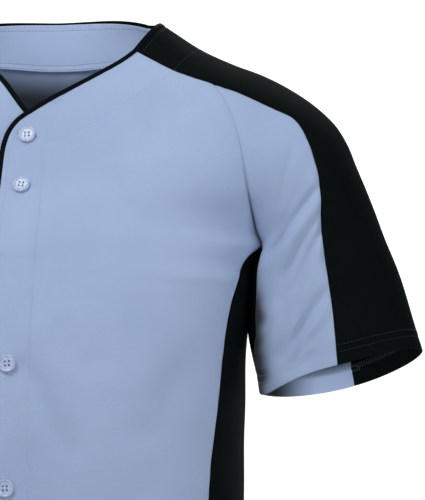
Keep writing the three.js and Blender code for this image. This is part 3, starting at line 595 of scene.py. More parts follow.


# %% [markdown]
# The inside of the neck and of the cuff fades to black, though its near edge is bright, and the seams are
# nearly black at the underarm. Real light can't do all of that in an open studio, so it is painted on. Two
# values are kept at each point of the cloth for it: one is painted shade, which darkens the colour, and the
# other is painted light, a glow that stands in for light coming through the cloth.

# %% Painted shade and painted light kept in the cloth
INNER_SHADE, CUFF_SHADE, CUFF_GLOW, FACING_GLOW = 0.93, 0.97, 0.46, 0.33
CUFF_DARK_X, CUFF_FADE = 201, 39
DITCH_SHADE, DITCH_TOP, DITCH_END = 0.8, -120, -215
UNDER_SHADE, UNDER_TOP, UNDER_EDGE, UNDER_FADE = 0.94, -226, 195, 13


# painted shade inside the body below the facing and deep in the cuffs, and painted glow near the cuff's
# edge
def painted_inside_shade_and_glow(name, grid, from_top, from_hem):
    if name.startswith(("sleeve", "shoulder")):
        near_hem = 1 - smooth((from_hem - 15) / 8)
        lit = smooth((np.abs(grid[..., 0]) - CUFF_DARK_X) / CUFF_FADE) * near_hem
        return CUFF_SHADE * (1 - lit), CUFF_GLOW * lit
    return INNER_SHADE * smooth((from_top - FACING_LINE + 6) / 34), np.zeros(grid.shape[:2])


# painted shadow on the outer cloth: dark in the raglan seam's ditch near the underarm, and on the sleeve's
# front where it turns under beside the underarm piece
def seam_shadow(name, grid, from_start, from_end, along):
    out, height = np.abs(grid[..., 0]), grid[..., 2]
    ditch = DITCH_SHADE * smooth((DITCH_TOP - height) / 70) * (1 - smooth((DITCH_END - height) / 12))
    if name.startswith("front"):
        return ditch * mound(from_end, 1.5)
    if name.startswith("sleeve_front"):
        edge = UNDER_EDGE + 2.4 * ripple(along, 0.5)
        under = UNDER_SHADE * smooth((UNDER_TOP - height) / 26) * (1 - smooth((out - edge) / UNDER_FADE))
        return np.maximum(ditch * mound(from_start, 1.9), under)
    return np.zeros_like(out)


# %% [markdown]
# ## One panel of cloth
# Here the grid, its folds, its sewing and its shell come together. Beside a seam the panel takes the
# direction that both panels share there, so the two stay one smooth form. What is sewn on later finds its
# place from `laid`.

# %% Lay one panel
SEAM_BLEND = 9
laid = {}


def cloth_panel(name, slot, grid, away_from, seams, sewn=(True, True),
                hem=False, neck=False, band=False, sink=None):
    normals, outward = grid_normals(grid, away_from)
    across, along = distances(grid, 1), distances(grid, 0)
    from_start, from_end = across, across[:, -1:] - across
    from_top, from_hem = along, along[-1:] - along
    height = fold_height(grid) + slack(grid)
    if name.startswith(("side_panel", "underarm")):
        height += UNDERARM_FULL * mound(grid[..., 2] - UNDERARM_FULL_HEIGHT, UNDERARM_FULL_SPREAD)
    for normal, joined, distance in zip(seams, sewn, (from_start, from_end)):
        if normal is not None:
            share = (1 - smooth(distance / SEAM_BLEND))[..., None]
            normals = unit(lerp(normals, normal[:, None], share))
        if joined:
            height += seam_height(grid, distance, along)
    if neck:
        height += neck_height(from_top, from_start, across, band)
    if band:
        height += band_height(from_start, from_top, along)
    doubled = np.zeros(grid.shape[:2])
    if hem:
        height += hem_height(from_hem, across)
        doubled = (from_hem <= HEM_TURN + 0.1).astype(float)
    if sink is not None:
        height -= sink(grid, doubled)
    outer = grid + normals * height[..., None]
    inner = outer - normals * (CLOTH * (1 + doubled))[..., None]
    rows, columns = grid.shape[:2]
    middle = slice(columns // 2, columns // 2 + 1)
    flat = np.stack([across - across[:, middle], np.broadcast_to(along[:, middle], across.shape)], -1)
    flat = flat.reshape(-1, 2)
    vertices = np.concatenate([outer.reshape(-1, 3), inner.reshape(-1, 3)])
    uv = np.concatenate([flat, flat + INNER_UV])
    # painted shade and painted glow for the inner face, painted shadow for the outer face
    shade, glow = painted_inside_shade_and_glow(name, grid, from_top, from_hem)
    shadow = seam_shadow(name, grid, from_start, from_end, along)
    no_glow = np.zeros(glow.size)
    inside = {"shade": np.r_[shadow.ravel(), shade.ravel()], "glow": np.r_[no_glow, glow.ravel()]}
    make_piece(name, vertices, shell_faces(rows, columns, outward), uv, slot, name, inside)
    laid[name] = {
        "outer": outer, "inner": inner, "normal": normals,
        "across": distances(outer, 1), "along": distances(outer, 0),
        "width": float(across[:, -1].max()), "length": float(along[-1].max()), "area": grid_area(outer),
    }


def grid_area(grid):
    corners = np.cross(grid[1:, 1:] - grid[:-1, :-1], grid[1:, :-1] - grid[:-1, 1:])
    return float(np.linalg.norm(corners, axis=-1).sum() / 2)


def mirror(vectors):
    return None if vectors is None else vectors * (-1, 1, 1)


def bounding(panel):
    return f"{panel['width']:.0f} x {panel['length']:.0f} mm"


# %% [markdown]
# ## The fronts and the back
# The wearer's left front laps over the right one. Both have the same cut, but the right one is tucked
# under by the thickness of the other, so the two never cross. The neck corner of each rounds into the
# edge of the button band.

# %% Fronts and back
BODY_CENTRE, ARM_CENTRE = np.array([0, 0, -300.0]), np.array([240, 0, -150.0])
LAST_BODY_LENGTH = BODY[-2, 0] - BODY[-1, 0]
LAST_SLEEVE_LENGTH = 44
PLACKET_HALF, PLACKET_DROP = 17, 46
UNDERLAP_GAP, UNDERLAP_FULL, UNDERLAP_OUT, SOLID_WALL = 1.6, 30, 62, 1.5


def band_across(row, neck):
    fall = (panel_point(0.0, 0.0, neck)[2] - panel_point(row, 0.0, neck)[..., 2]) / PLACKET_DROP
    edge = -PLACKET_HALF * (1 - (1 - np.clip(fall, 0, 1)) ** 2.7)
    return edge / (panel_point(row, 0.1, neck)[..., 0] / 0.1)


def underlap(points, doubled):
    depth = (1 + doubled) * SOLID_WALL + UNDERLAP_GAP
    return depth * smooth((points[..., 0] + UNDERLAP_OUT) / (UNDERLAP_OUT - UNDERLAP_FULL))


front_rows = rows_between(lambda row: panel_edge(row, False), 0, BODY_END, LAST_BODY_LENGTH)
for side in ("left", "right"):
    neck = NECK[side]
    band_edge = band_across(front_rows, neck)
    grid = even_grid(lambda row, across: panel_point(row, across, neck), front_rows, band_edge, 1)
    seam = panel_seam(front_rows, False)
    if side == "right":
        grid, seam = mirror(grid), mirror(seam)
    cloth_panel(f"front_{side}", BLUE, grid, BODY_CENTRE, (None, seam), (False, True),
                hem=True, neck=True, band=True, sink=underlap if side == "right" else None)
back_rows = rows_between(lambda row: panel_edge(row, True), 0, BODY_END, LAST_BODY_LENGTH)
back_grid = even_grid(lambda row, across: panel_point(row, across, None), back_rows, -1, 1)
back_seam = panel_seam(back_rows, True)
cloth_panel("back", BLUE, back_grid, BODY_CENTRE, (mirror(back_seam), back_seam),
            hem=True, neck=True)
for name in ("front_left", "front_right", "back"):
    print(name, bounding(laid[name]), len(pieces[name].data.polygons), "faces")

# %% [markdown]
# ## The shoulder strips, sleeves, underarm pieces and side panels
# One black strip runs from the neck over the shoulder to the sleeve hem, between the light blue front and
# back of the sleeve. A black panel down the side makes the garment easy to move in, and a narrow black
# piece lies under the arm, from the armpit part way down the sleeve.

# %% Sleeves and side panels
NEAR_END = 0.03  # pointed ends stop this share of a row short, so that no face has zero width


def along_arm(angle_at):
    return lambda row: arm_point(row, angle_at(row))


def arm_point_round(row, angle):
    return arm_point(row, np.where(angle > 180, angle - 360, angle))


def side_middle(row):
    return side_point(row, np.full_like(row, 0.5))


def sleeve_piece(rows, start, end):
    return even_grid(arm_point_round, rows, start, end), (sleeve_seam(rows, start), sleeve_seam(rows, end))


strip_rows = rows_between(along_arm(np.zeros_like), 0, SLEEVE_END, LAST_SLEEVE_LENGTH)
sleeve_rows = rows_between(along_arm(strip_angle), SEAM_START + NEAR_END, SLEEVE_END, LAST_SLEEVE_LENGTH)
gusset_rows = rows_between(along_arm(seam_angle), UNDERARM, GUSSET_END - NEAR_END)
side_rows = rows_between(side_middle, UNDERARM, BODY_END, LAST_BODY_LENGTH)
strip_start, strip_end = strip_angle(strip_rows), strip_back_angle(strip_rows)
sleeve_edge, gusset_edge = seam_angle(sleeve_rows), seam_angle(gusset_rows)
side_seams = (panel_seam(side_rows, False), panel_seam(side_rows, True))
sided = {
    "shoulder_strip": (BLACK, *sleeve_piece(strip_rows, strip_start, strip_end)),
    "sleeve_front": (BLUE, *sleeve_piece(sleeve_rows, sleeve_edge, strip_angle(sleeve_rows))),
    "sleeve_back": (BLUE, *sleeve_piece(sleeve_rows, strip_back_angle(sleeve_rows), -sleeve_edge)),
    "underarm_gusset": (BLACK, *sleeve_piece(gusset_rows, gusset_edge, 360 - gusset_edge)),
    "side_panel": (BLACK, even_grid(side_point, side_rows, 0, 1), side_seams),
}
for name, (slot, grid, seams) in sided.items():
    centre = BODY_CENTRE if name == "side_panel" else ARM_CENTRE
    ends = {"hem": name != "underarm_gusset", "neck": name == "shoulder_strip"}
    cloth_panel(name + "_left", slot, grid, centre, seams, **ends)
    cloth_panel(name + "_right", slot, mirror(grid), mirror(centre), tuple(map(mirror, seams)), **ends)
    print(name, bounding(laid[name + "_left"]))

# %% [markdown]
# ## The piping
# A black binding is folded over the raw edge of the neck and runs on down both front edges. It is one
# sweep: the section of a folded strip follows the edge of the cloth, turned so that it always lies in the
# cloth's own plane.

# %% The line of the edge
PIPING_WIDTH, PIPING_HALF, PIPING_TUCK, PIPING_CLOTH = 4.2, 1.15, 0.5, 0.5


def neck_edge(side):
    back = laid["back"]
    middle, backward = back["outer"].shape[1] // 2, slice(None, None, -1)
    half = slice(middle, None) if side == "left" else slice(middle, None, -1)
    strip, front = laid[f"shoulder_strip_{side}"], laid[f"front_{side}"]
    parts = [(back, (0, half)), (strip, (0, backward)),
             (front, (0, backward)), (front, (slice(1, None), 0))]
    return [np.concatenate([panel[key][place] for panel, place in parts]) for key in ("outer", "normal")]


def thinned(points, normals, spacing):
    walked = distances(points[None], 1)[0]
    count = max(2, int(round(walked[-1] / spacing)))
    wanted = np.linspace(0, walked[-1], count + 1)
    points, normals = (at_distances(wanted, walked, values) for values in (points, normals))
    for _ in range(2):
        points[1:-1] = (points[:-2] + 2 * points[1:-1] + points[2:]) / 4
        normals[1:-1] = (normals[:-2] + 2 * normals[1:-1] + normals[2:]) / 4
    return points, unit(normals)


left_edge, right_edge = neck_edge("left"), neck_edge("right")
edge_points = np.concatenate([left_edge[0][:0:-1], right_edge[0]])
edge_normals = np.concatenate([left_edge[1][:0:-1], right_edge[1]])
edge_points, edge_normals = thinned(edge_points, edge_normals, 2.2)
print("piping, mm:", round(float(distances(edge_points[None], 1)[0, -1])))

# %% The sweep
def folded(half):
    turn = np.linspace(math.pi / 2, -math.pi / 2, 7)
    flank = PIPING_WIDTH - PIPING_HALF
    fold = np.stack([flank + half * np.cos(turn), half * np.sin(turn)], -1)
    crown = [(-PIPING_TUCK, 0.82 * half), (0.3 * flank, half)]
    return np.array(crown + fold.tolist() + [(x, -y) for x, y in reversed(crown)])


outside, inside = folded(PIPING_HALF), folded(PIPING_HALF - PIPING_CLOTH)
section = np.concatenate([outside, inside[::-1]])
PIPING_CUT = float(distances(outside[None], 1)[0, -1])
print("piping, unfolded, mm:", round(PIPING_CUT, 1))


def sweep(points, normals, section, sink):
    tangents = np.gradient(points, axis=0)
    aside = unit(np.cross(normals, tangents))
    rings = (points[:, None] + aside[:, None] * section[None, :, :1]
             + normals[:, None] * (section[None, :, 1:] - sink))
    count, sides = rings.shape[:2]
    index = np.arange(count * sides).reshape(count, sides)
    faces = tube_faces(index, True).tolist() + [index[0].tolist(), index[-1][::-1].tolist()]
    around = distances(np.concatenate([section, section[:1]])[None], 1)[0, :sides]
    walked = distances(points[None], 1)[0]
    uv = np.stack(np.broadcast_arrays(around[None], walked[:, None]), -1).reshape(-1, 2)
    return rings.reshape(-1, 3), faces, uv


def outward_faces(vertices, faces):
    a, b, c = (np.array([vertices[face[k]] for face in faces]) for k in range(3))
    d = np.array([vertices[face[-1]] for face in faces])
    volume = (a * np.cross(b, c)).sum() + (a * np.cross(c, d)).sum()
    return faces if volume > 0 else [face[::-1] for face in faces]


rings, ring_faces, ring_uv = sweep(edge_points, edge_normals, section, CLOTH / 2)
make_piece("piping", rings, outward_faces(rings, ring_faces), ring_uv, BLACK, "piping")

# %% [markdown]
# ## The facing inside the neck
# A band of the same blue cloth is sewn inside the neck to cover the raw seam. Its top edge rises a little
# over the inside of the piping, and two rows of stitching hold its lower edge to the body.

# %% The facing
FACING_DEPTH, FACING_RISE, FACING_CLOTH, FACING_INSET = 42, 2.6, 1.0, 2.3
FACING_PLACES, FACING_EXTRA = (0, 25, 50, 75, 110, 140), (-1.8, -0.7, 2.8, 3, 1, 0)
FACING_LENGTH = FACING_DEPTH + FACING_RISE
FACING_STEPS = np.r_[0, 0.5, 1.2, np.linspace(FACING_RISE, FACING_LENGTH - 1, 16), FACING_LENGTH]
FACING_STITCHES = (FACING_LENGTH - 2, FACING_LENGTH - 6, 5.5)


def facing_lines(side):
    back, strip, front = laid["back"], laid[f"shoulder_strip_{side}"], laid[f"front_{side}"]
    back_columns, strip_columns, columns = (panel["outer"].shape[1] for panel in (back, strip, front))
    middle = back_columns // 2
    lines = [(back, j) for j in (range(middle, back_columns) if side == "left" else range(middle, -1, -1))]
    lines += [(strip, j) for j in range(strip_columns - 1, -1, -1)]
    lines += [(front, j) for j in range(columns - 1, columns // 3, -1)]
    return [facing_line(*line) for line in lines]


def facing_line(panel, j):
    points = panel["outer"][:, j] - panel["normal"][:, j] * FACING_INSET
    normals = panel["normal"][:, j]
    top = points[0] + unit(points[0] - points[2]) * FACING_RISE
    points = np.concatenate([top[None], points])
    normals = np.concatenate([normals[:1], normals])
    walked = distances(points[None], 1)[0]
    depth = FACING_STEPS * (1 + np.interp(abs(points[1, 0]), FACING_PLACES, FACING_EXTRA) / FACING_DEPTH)
    return [at_distances(depth, walked, values) for values in (points, normals)]


facing_columns = facing_lines("left")[:0:-1] + facing_lines("right")
facing_grid = np.stack([column[0] for column in facing_columns], 1)
facing_normal = unit(np.stack([column[1] for column in facing_columns], 1))
walked = distances(facing_grid[8][None], 1)[0]
wanted = np.linspace(0, walked[-1], int(walked[-1] / 2.6))
facing_grid = np.stack([at_distances(wanted, walked, row) for row in facing_grid])
facing_normal = unit(np.stack([at_distances(wanted, walked, row) for row in facing_normal]))
for _ in range(3):
    facing_grid[:, 1:-1] = (facing_grid[:, :-2] + 2 * facing_grid[:, 1:-1] + facing_grid[:, 2:]) / 4
    facing_normal[:, 1:-1] = unit(facing_normal[:, :-2] + 2 * facing_normal[:, 1:-1] + facing_normal[:, 2:])
depth = FACING_STEPS[:, None]
lower = FACING_LENGTH - depth
facing_stitched = valley(depth - 5.5, 0.35, 1.2) + valley(lower - 2, 0.35, 1) + valley(lower - 6, 0.35, 1)
facing_pucker = 0.3 * ripple(wanted[None], 0.4) * (mound(lower - 4, 7) + 0.6 * mound(depth - 5, 6))
facing_wall = FACING_CLOTH + facing_stitched + facing_pucker
facing_inner = facing_grid - facing_normal * facing_wall[..., None]
facing_uv = np.stack(np.broadcast_arrays(wanted[None], depth), -1).reshape(-1, 2)
facing_vertices = np.concatenate([facing_grid.reshape(-1, 3), facing_inner.reshape(-1, 3)])
facing_faces = outward_faces(facing_vertices, shell_faces(*facing_grid.shape[:2], 1))
facing_uv = np.concatenate([facing_uv, facing_uv + INNER_UV])
# painted light: the facing glows, so it shows as bright as the front
make_piece("back_neck_facing", facing_vertices, facing_faces, facing_uv, BLUE,
           "back_neck_facing", {"glow": np.full(len(facing_vertices), FACING_GLOW)})
print("facing, mm:", round(float(walked[-1])), "x", FACING_DEPTH)

# %% [markdown]
# ## Stitching
# A stitch is a short length of thread that comes up out of the cloth and goes down again. Each one here
# is a small spindle of real size, set along a line that is found by its distance from an edge, as a
# machine's guide does.

# %% Lines on the cloth, and stitches along them
STITCH_PITCH, STITCH_LENGTH, THREAD_RADIUS = 3.1, 2.4, 0.27
SPINDLE_RINGS = np.array([-1, -0.72, 0, 0.72, 1])
SPINDLE_SIDES, SPINDLE_SAG = 5, 0.9  # the ends dip by 0.9 of the radius, where thread enters cloth


def line_down(panel, distance, from_hem=False, columns=slice(None), layer="outer"):
    along = panel["along"][-1:] - panel["along"] if from_hem else panel["along"]
    order = slice(None, None, -1) if from_hem else slice(None)
    points, normals = [], []
    for j in range(*columns.indices(along.shape[1])):
        points.append(at_distances(distance, along[order, j], panel[layer][order, j]))
        normals.append(at_distances(distance, along[order, j], panel["normal"][order, j]))
    return np.array(points), unit(np.array(normals))


def line_across(panel, distance, rows=slice(None)):
    points, normals = [], []
    for i in range(*rows.indices(len(panel["across"]))):
        points.append(at_distances(distance, panel["across"][i], panel["outer"][i]))
        normals.append(at_distances(distance, panel["across"][i], panel["normal"][i]))
    return np.array(points), unit(np.array(normals))


def beyond(walked, distance):
    return slice(int(np.searchsorted(walked, distance)), None)


def spindles(centres, directions, normals, length, radius):
    directions = unit(directions)
    sides = unit(np.cross(directions, normals))
    ups = np.cross(sides, directions)
    along, beside, above = (axis[:, None, None] for axis in (directions, sides, ups))
    steps = SPINDLE_RINGS[None, :, None, None]
    turn = np.linspace(0, 2 * np.pi, SPINDLE_SIDES, endpoint=False)[None, None, :, None]
    fullness = radius * np.sqrt(np.maximum(1 - steps ** 4, 0.05))
    ring = along * (steps * length / 2) + (beside * np.cos(turn) + above * np.sin(turn)) * fullness
    ring = ring - above * (steps ** 2 * radius * SPINDLE_SAG)
    vertices = (centres[:, None, None] + ring).reshape(-1, 3)
    index = np.arange(len(SPINDLE_RINGS) * SPINDLE_SIDES).reshape(-1, SPINDLE_SIDES)
    shift = (np.arange(len(centres)) * index.size)[:, None, None]
    faces = (tube_faces(index)[None] + shift).reshape(-1, 4).tolist()
    ends = (np.stack([index[0][::-1], index[-1]])[None] + shift).reshape(-1, SPINDLE_SIDES).tolist()
    round_it, down_it = np.arange(SPINDLE_SIDES) * 0.35, SPINDLE_RINGS[:, None] * length / 2
    uv = np.stack(np.broadcast_arrays(round_it, down_it), -1).reshape(-1, 2)
    return vertices, faces + ends, np.tile(uv, (len(centres), 1))


thread = {}


def sew(colour, points, normals, inside=False):
    walked = distances(points[None], 1)[0]
    wanted = np.arange(STITCH_PITCH / 2, walked[-1], STITCH_PITCH)
    centres = at_distances(wanted, walked, points)
    ups = unit(at_distances(wanted, walked, normals)) * (-1 if inside else 1)
    directions = at_distances(wanted, walked, np.gradient(points, axis=0))
    centres = centres + ups * THREAD_RADIUS * 0.35
    thread.setdefault(colour, []).append(spindles(centres, directions, ups, STITCH_LENGTH, THREAD_RADIUS))


def sewn_piece(name, colour, slot):
    vertices, faces, uv, offset = [], [], [], 0
    for part_vertices, part_faces, part_uv in thread.pop(colour):
        vertices.append(part_vertices)
        faces += [[corner + offset for corner in face] for face in part_faces]
        uv.append(part_uv)
        offset += len(part_vertices)
    make_piece(name, np.concatenate(vertices), faces, np.concatenate(uv), slot)
    print(name, len(faces), "faces")


# %% [markdown]
# The edge stitch runs beside the piping, the band stitch holds the turned button band, the facing stitch
# shows as a faint line round the shoulders, and two needles side by side sew each hem. The thread takes
# the cloth's colour.

# %% Sew the neck, the bands and the hems
FACING_ROW = 30  # a row of the front's grid that lies near the facing stitch
for side in ("left", "right"):
    front, strip = laid[f"front_{side}"], laid[f"shoulder_strip_{side}"]
    across, down_edge = front["across"], front["along"][:, 0]
    sew("blue", *line_down(front, EDGE_STITCH, columns=beyond(across[0], EDGE_STITCH)))
    sew("blue", *line_across(front, EDGE_STITCH, beyond(down_edge, EDGE_STITCH)))
    sew("blue", *line_across(front, BAND_WIDTH, beyond(down_edge, FACING_LINE)))
    sew("blue", *line_down(front, FACING_LINE, columns=beyond(across[FACING_ROW], BAND_WIDTH)))
    sew("black", *line_down(strip, EDGE_STITCH))
    sew("black", *line_down(strip, FACING_LINE))
sew("blue", *line_down(laid["back"], EDGE_STITCH))
sew("blue", *line_down(laid["back"], FACING_LINE))
sewn_piece("stitching_neck_and_bands_blue", "blue", BLUE)
for line in HEM_LINES:
    for name in ("front_left", "front_right", "back"):
        sew("blue", *line_down(laid[name], line, True))
    for side in ("left", "right"):
        sew("blue", *line_down(laid[f"sleeve_front_{side}"], line, True))
        sew("blue", *line_down(laid[f"sleeve_back_{side}"], line, True))
        sew("black", *line_down(laid[f"shoulder_strip_{side}"], line, True))
        sew("black", *line_down(laid[f"side_panel_{side}"], line, True))
sewn_piece("stitching_hems_blue", "blue", BLUE)
for line in FACING_STITCHES:
    columns = range(facing_inner.shape[1])
    points, normals = (np.array([at_distances(line, FACING_STEPS, values[:, j]) for j in columns])
                       for values in (facing_inner, facing_normal))
    sew("blue", points, unit(normals), inside=True)
sewn_piece("stitching_facing", "blue", BLUE)

# %% [markdown]
# ## Overlocked edges
# The raw edge of a turned hem is wrapped in loops of thread, which show inside the cuffs. Each loop is
# drawn as two slanted stitches and a knot on the edge, so the row looks like a ladder of thread.

# %% Overlock the turned hems
OVERLOCK_PITCH, OVERLOCK_WIDTH, OVERLOCK_LIFT, OVERLOCK_RADIUS = 2.7, 4.2, 0.28, 0.24
KNOT_LENGTH, KNOT_RADIUS = 2.0, 0.3


def overlock(colour, panel):
    low, low_normal = line_down(panel, HEM_TURN - OVERLOCK_WIDTH, True, layer="inner")
    high, _ = line_down(panel, HEM_TURN + 0.1, True, layer="inner")
    walked = distances(low[None], 1)[0]
    places = np.arange(0.5, walked[-1] - 0.5, OVERLOCK_PITCH)
    feet, knots = (at_distances(places, walked, line) for line in (low, high))
    ups = -unit(at_distances(places, walked, low_normal))
    next_feet = np.concatenate([feet[1:], feet[-1:] * 2 - feet[-2:-1]])
    lifted = ups * OVERLOCK_LIFT
    loops = thread.setdefault(colour, [])
    for start, end in ((feet, knots), (knots, lerp(feet, next_feet, 0.8))):
        middle, run = (start + end) / 2 + lifted, end - start
        length = float(np.linalg.norm(run, axis=1).mean())
        loops.append(spindles(middle, run, ups, length, OVERLOCK_RADIUS))
    loops.append(spindles(knots + lifted, np.gradient(knots, axis=0), ups, KNOT_LENGTH, KNOT_RADIUS))


for side in ("left", "right"):
    overlock("loops", laid[f"shoulder_strip_{side}"])
    for name in ("sleeve_front", "sleeve_back"):
        overlock("pale loops", laid[f"{name}_{side}"])
sewn_piece("overlocking_cuffs", "loops", BLACK)
sewn_piece("overlocking_sleeves", "pale loops", BLUE)
sewn_piece("stitching_black", "black", BLACK)
for name in ("front_left", "front_right", "back", "side_panel_left", "side_panel_right"):
    overlock("loops", laid[name])
sewn_piece("overlocking_hem", "loops", BLUE)

# %% [markdown]
# ## Buttons and buttonholes
# The buttons are turned from pale pearly resin: a raised rim, a dished middle and four holes, sewn with
# two bars of thread. A profile spun round its axis gives the blank, and four thin cylinders are cut from
# it with a boolean. Under each button the left front has a buttonhole, whose edges are covered with close
# stitches.

# %% Turn one button
BUTTON_THICK, DISH_HEIGHT, HOLE_RADIUS, HOLE_OFFSET = 3.0, 2.1, 0.95, 1.75
BUTTON_PROFILE = np.array([
    (0, 0), (6.4, 0), (6.9, 0.15), (7.3, 0.55), (7.5, 1.1), (7.5, 2.0), (7.4, 2.5), (7.15, 2.85),
    (6.8, BUTTON_THICK), (6.4, 2.93), (6.05, 2.7), (5.75, 2.4), (5.4, 2.24), (4.6, 2.15),
    (3, DISH_HEIGHT), (0, DISH_HEIGHT),
])
BUTTON_SIDES, DRILL_SIDES, SHARP_EDGE = 56, 18, math.radians(50)


def turned_mesh(name, profile, sides):
    turn = np.linspace(0, 2 * np.pi, sides, endpoint=False)
    rings = profile[1:-1]
    vertices = np.concatenate([
        [(0, 0, profile[0, 1])],
        np.stack([rings[:, :1] * np.cos(turn), rings[:, :1] * np.sin(turn),
                  np.broadcast_to(rings[:, 1:], (len(rings), sides))], -1).reshape(-1, 3),
        [(0, 0, profile[-1, 1])],
    ]) * MM
    index = 1 + np.arange(len(rings) * sides).reshape(len(rings), sides)
    turned = np.roll(index, -1, 1)
    faces = tube_faces(index).tolist() + [(0, b, a) for a, b in zip(index[0], turned[0])]
    top = len(vertices) - 1
    faces += [(top, a, b) for a, b in zip(index[-1], turned[-1])]
    mesh = bpy.data.meshes.new(name)
    mesh.from_pydata(vertices.tolist(), [], [tuple(int(corner) for corner in face) for face in faces])
    return mesh


blank = linked("blank", turned_mesh("blank", BUTTON_PROFILE, BUTTON_SIDES))
drill_profile = np.array([(0, -2), (HOLE_RADIUS, -2), (HOLE_RADIUS, 6), (0, 6)])
drills = []
for x in (-HOLE_OFFSET, HOLE_OFFSET):
    for y in (-HOLE_OFFSET, HOLE_OFFSET):
        drill = linked("drill", turned_mesh("drill", drill_profile, DRILL_SIDES))
        drill.location = (x * MM, y * MM, 0)
        drills.append(drill)
for drill in drills:
    cut = blank.modifiers.new("hole", "BOOLEAN")
    cut.operation, cut.object, cut.solver = "DIFFERENCE", drill, "EXACT"
bpy.context.view_layer.update()
button_mesh = bpy.data.meshes.new_from_object(blank.evaluated_get(bpy.context.evaluated_depsgraph_get()))
for maker in [blank] + drills:
    bpy.data.objects.remove(maker)
button_mesh.name = "button"
button_mesh.shade_smooth()
button_mesh.set_sharp_from_angle(angle=SHARP_EDGE)
print("button faces:", len(button_mesh.polygons))


# %% Seat the buttons
BUTTON_HEIGHTS = (-105.4, -150.5, -304.5, -408.5, -515, -622)
BUTTON_SPIN = (3, -10, 4, 2, 12, -7)  # degrees, since no two buttons are sewn on alike
STRAND_OFFSET, STRAND_RADIUS = 0.2, 0.22


def row_at_height(height):
    rows = np.linspace(0, BODY_END, 4000)
    return float(np.interp(-height, -centre_point(rows, False)[:, 2], rows))


def button_frame(index):
    row = np.array(row_at_height(BUTTON_HEIGHTS[index]))
    ahead = centre_normal(row, False)
    across = np.array([1.0, 0, 0])
    return across, unit(np.cross(ahead, across)), ahead


def spot_on_front(x, z):
    panel = laid["front_left"]
    flat = panel["outer"][..., [0, 2]]
    i, j = np.unravel_index(np.argmin(((flat - (x, z)) ** 2).sum(-1)), flat.shape[:2])
    return panel["outer"][i, j], panel["normal"][i, j]


def frame_matrix(right, above, ahead, origin):
    matrix = np.eye(4)
    matrix[:3] = np.stack([right, above, ahead, origin], 1)
    return Matrix(matrix.tolist())


bars, holes = [], []
for index, height in enumerate(BUTTON_HEIGHTS):
    name = f"button_{index + 1}"
    low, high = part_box(name)
    centre = np.array((low + high) / 2)
    across, up, ahead = button_frame(index)
    spin = math.radians(BUTTON_SPIN[index])
    right = across * math.cos(spin) + up * math.sin(spin)
    above = np.cross(ahead, right)
    button = linked(f"{name}_turned", button_mesh)
    button.matrix_world = frame_matrix(right, above, ahead, centre - ahead * BUTTON_THICK / 2 * MM)
    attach(button, "root")
    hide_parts(name)
    pieces[button.name] = button
    on_dish = centre / MM + ahead * (DISH_HEIGHT - BUTTON_THICK / 2 + 0.1)
    for offset in (-HOLE_OFFSET, HOLE_OFFSET):
        for strand in (-STRAND_OFFSET, STRAND_OFFSET):
            bars.append((on_dish + right * (offset + strand), above, ahead))
    holes.append(centre / MM)
bar_centres, bar_runs, bar_ups = (np.array([bar[k] for bar in bars]) for k in range(3))
bar_length = 2 * (HOLE_OFFSET - HOLE_RADIUS) + 0.3
thread["bars"] = [spindles(bar_centres, bar_runs, bar_ups, bar_length, STRAND_RADIUS)]
sewn_piece("button_thread", "bars", BLUE)

# %% Work the buttonholes
HOLE_HALF, SATIN_WIDTH, SATIN_PITCH, SATIN_RADIUS = 8.1, 1.5, 0.62, 0.34
TACK_LENGTH, TACK_RADIUS, SLIT_HALF = 3.2, 0.36, 0.34
TOP_HOLE_HALF, TOP_HOLE_TILT = 10.2, -14
slits, satin = [], thread.setdefault("satin", [])
for index, centre in enumerate(holes):
    across, up, ahead = button_frame(index)
    lie = math.radians(TOP_HOLE_TILT if index == 0 else 90)
    half = TOP_HOLE_HALF if index == 0 else HOLE_HALF
    run = across * math.cos(lie) + up * math.sin(lie)
    places = np.arange(-half, half + 0.01, SATIN_PITCH)
    spots = [spot_on_front(*(centre + run * place)[[0, 2]]) for place in places]
    line, ups = np.array([spot[0] for spot in spots]), unit(np.array([spot[1] for spot in spots]))
    middle = centre + np.outer(places, run)
    lift = ((line - middle) * ups).sum(-1, keepdims=True)
    middle = middle + ups * lift
    beside = unit(np.cross(ups, run[None]))
    for edge in (-1, 1):
        covered = middle + beside * edge * SATIN_WIDTH * 0.62 + ups * 0.12
        satin.append(spindles(covered, beside, ups, SATIN_WIDTH, SATIN_RADIUS))
    ends = middle[[0, -1]] + ups[[0, -1]] * 0.15
    bar_tacks = np.concatenate([ends + run * shift for shift in (-0.5, 0, 0.5)])
    tack_runs, tack_ups = (np.tile(values[:1], (len(bar_tacks), 1)) for values in (beside, ups))
    satin.append(spindles(bar_tacks, tack_runs, tack_ups, TACK_LENGTH, TACK_RADIUS))
    slits.append((middle + ups * 0.06, beside, ups))
sewn_piece("buttonholes", "satin", BLUE)
# painted shadow: a thin dark sheet lies along each slit for the shade in the opening
slit_vertices, slit_faces = [], []
for middle, beside, ups in slits:
    count, start = len(middle), len(slit_vertices)
    width = SLIT_HALF * np.sqrt(np.maximum(1 - np.linspace(-1, 1, count) ** 6, 0.04))[:, None]
    slit_vertices += (middle - beside * width).tolist() + (middle + beside * width).tolist()
    slit_faces += [(k, k + 1, count + k + 1, count + k) for k in range(start, start + count - 1)]
slit_uv = np.array(slit_vertices)[:, [0, 2]]
make_piece("buttonhole_slits", slit_vertices, slit_faces, slit_uv, BLACK)

# %% [markdown]
# ## A loose thread
# Where the overlocking of the cuff ends, a curl of grey thread hangs free inside the black strip of the
# left sleeve.

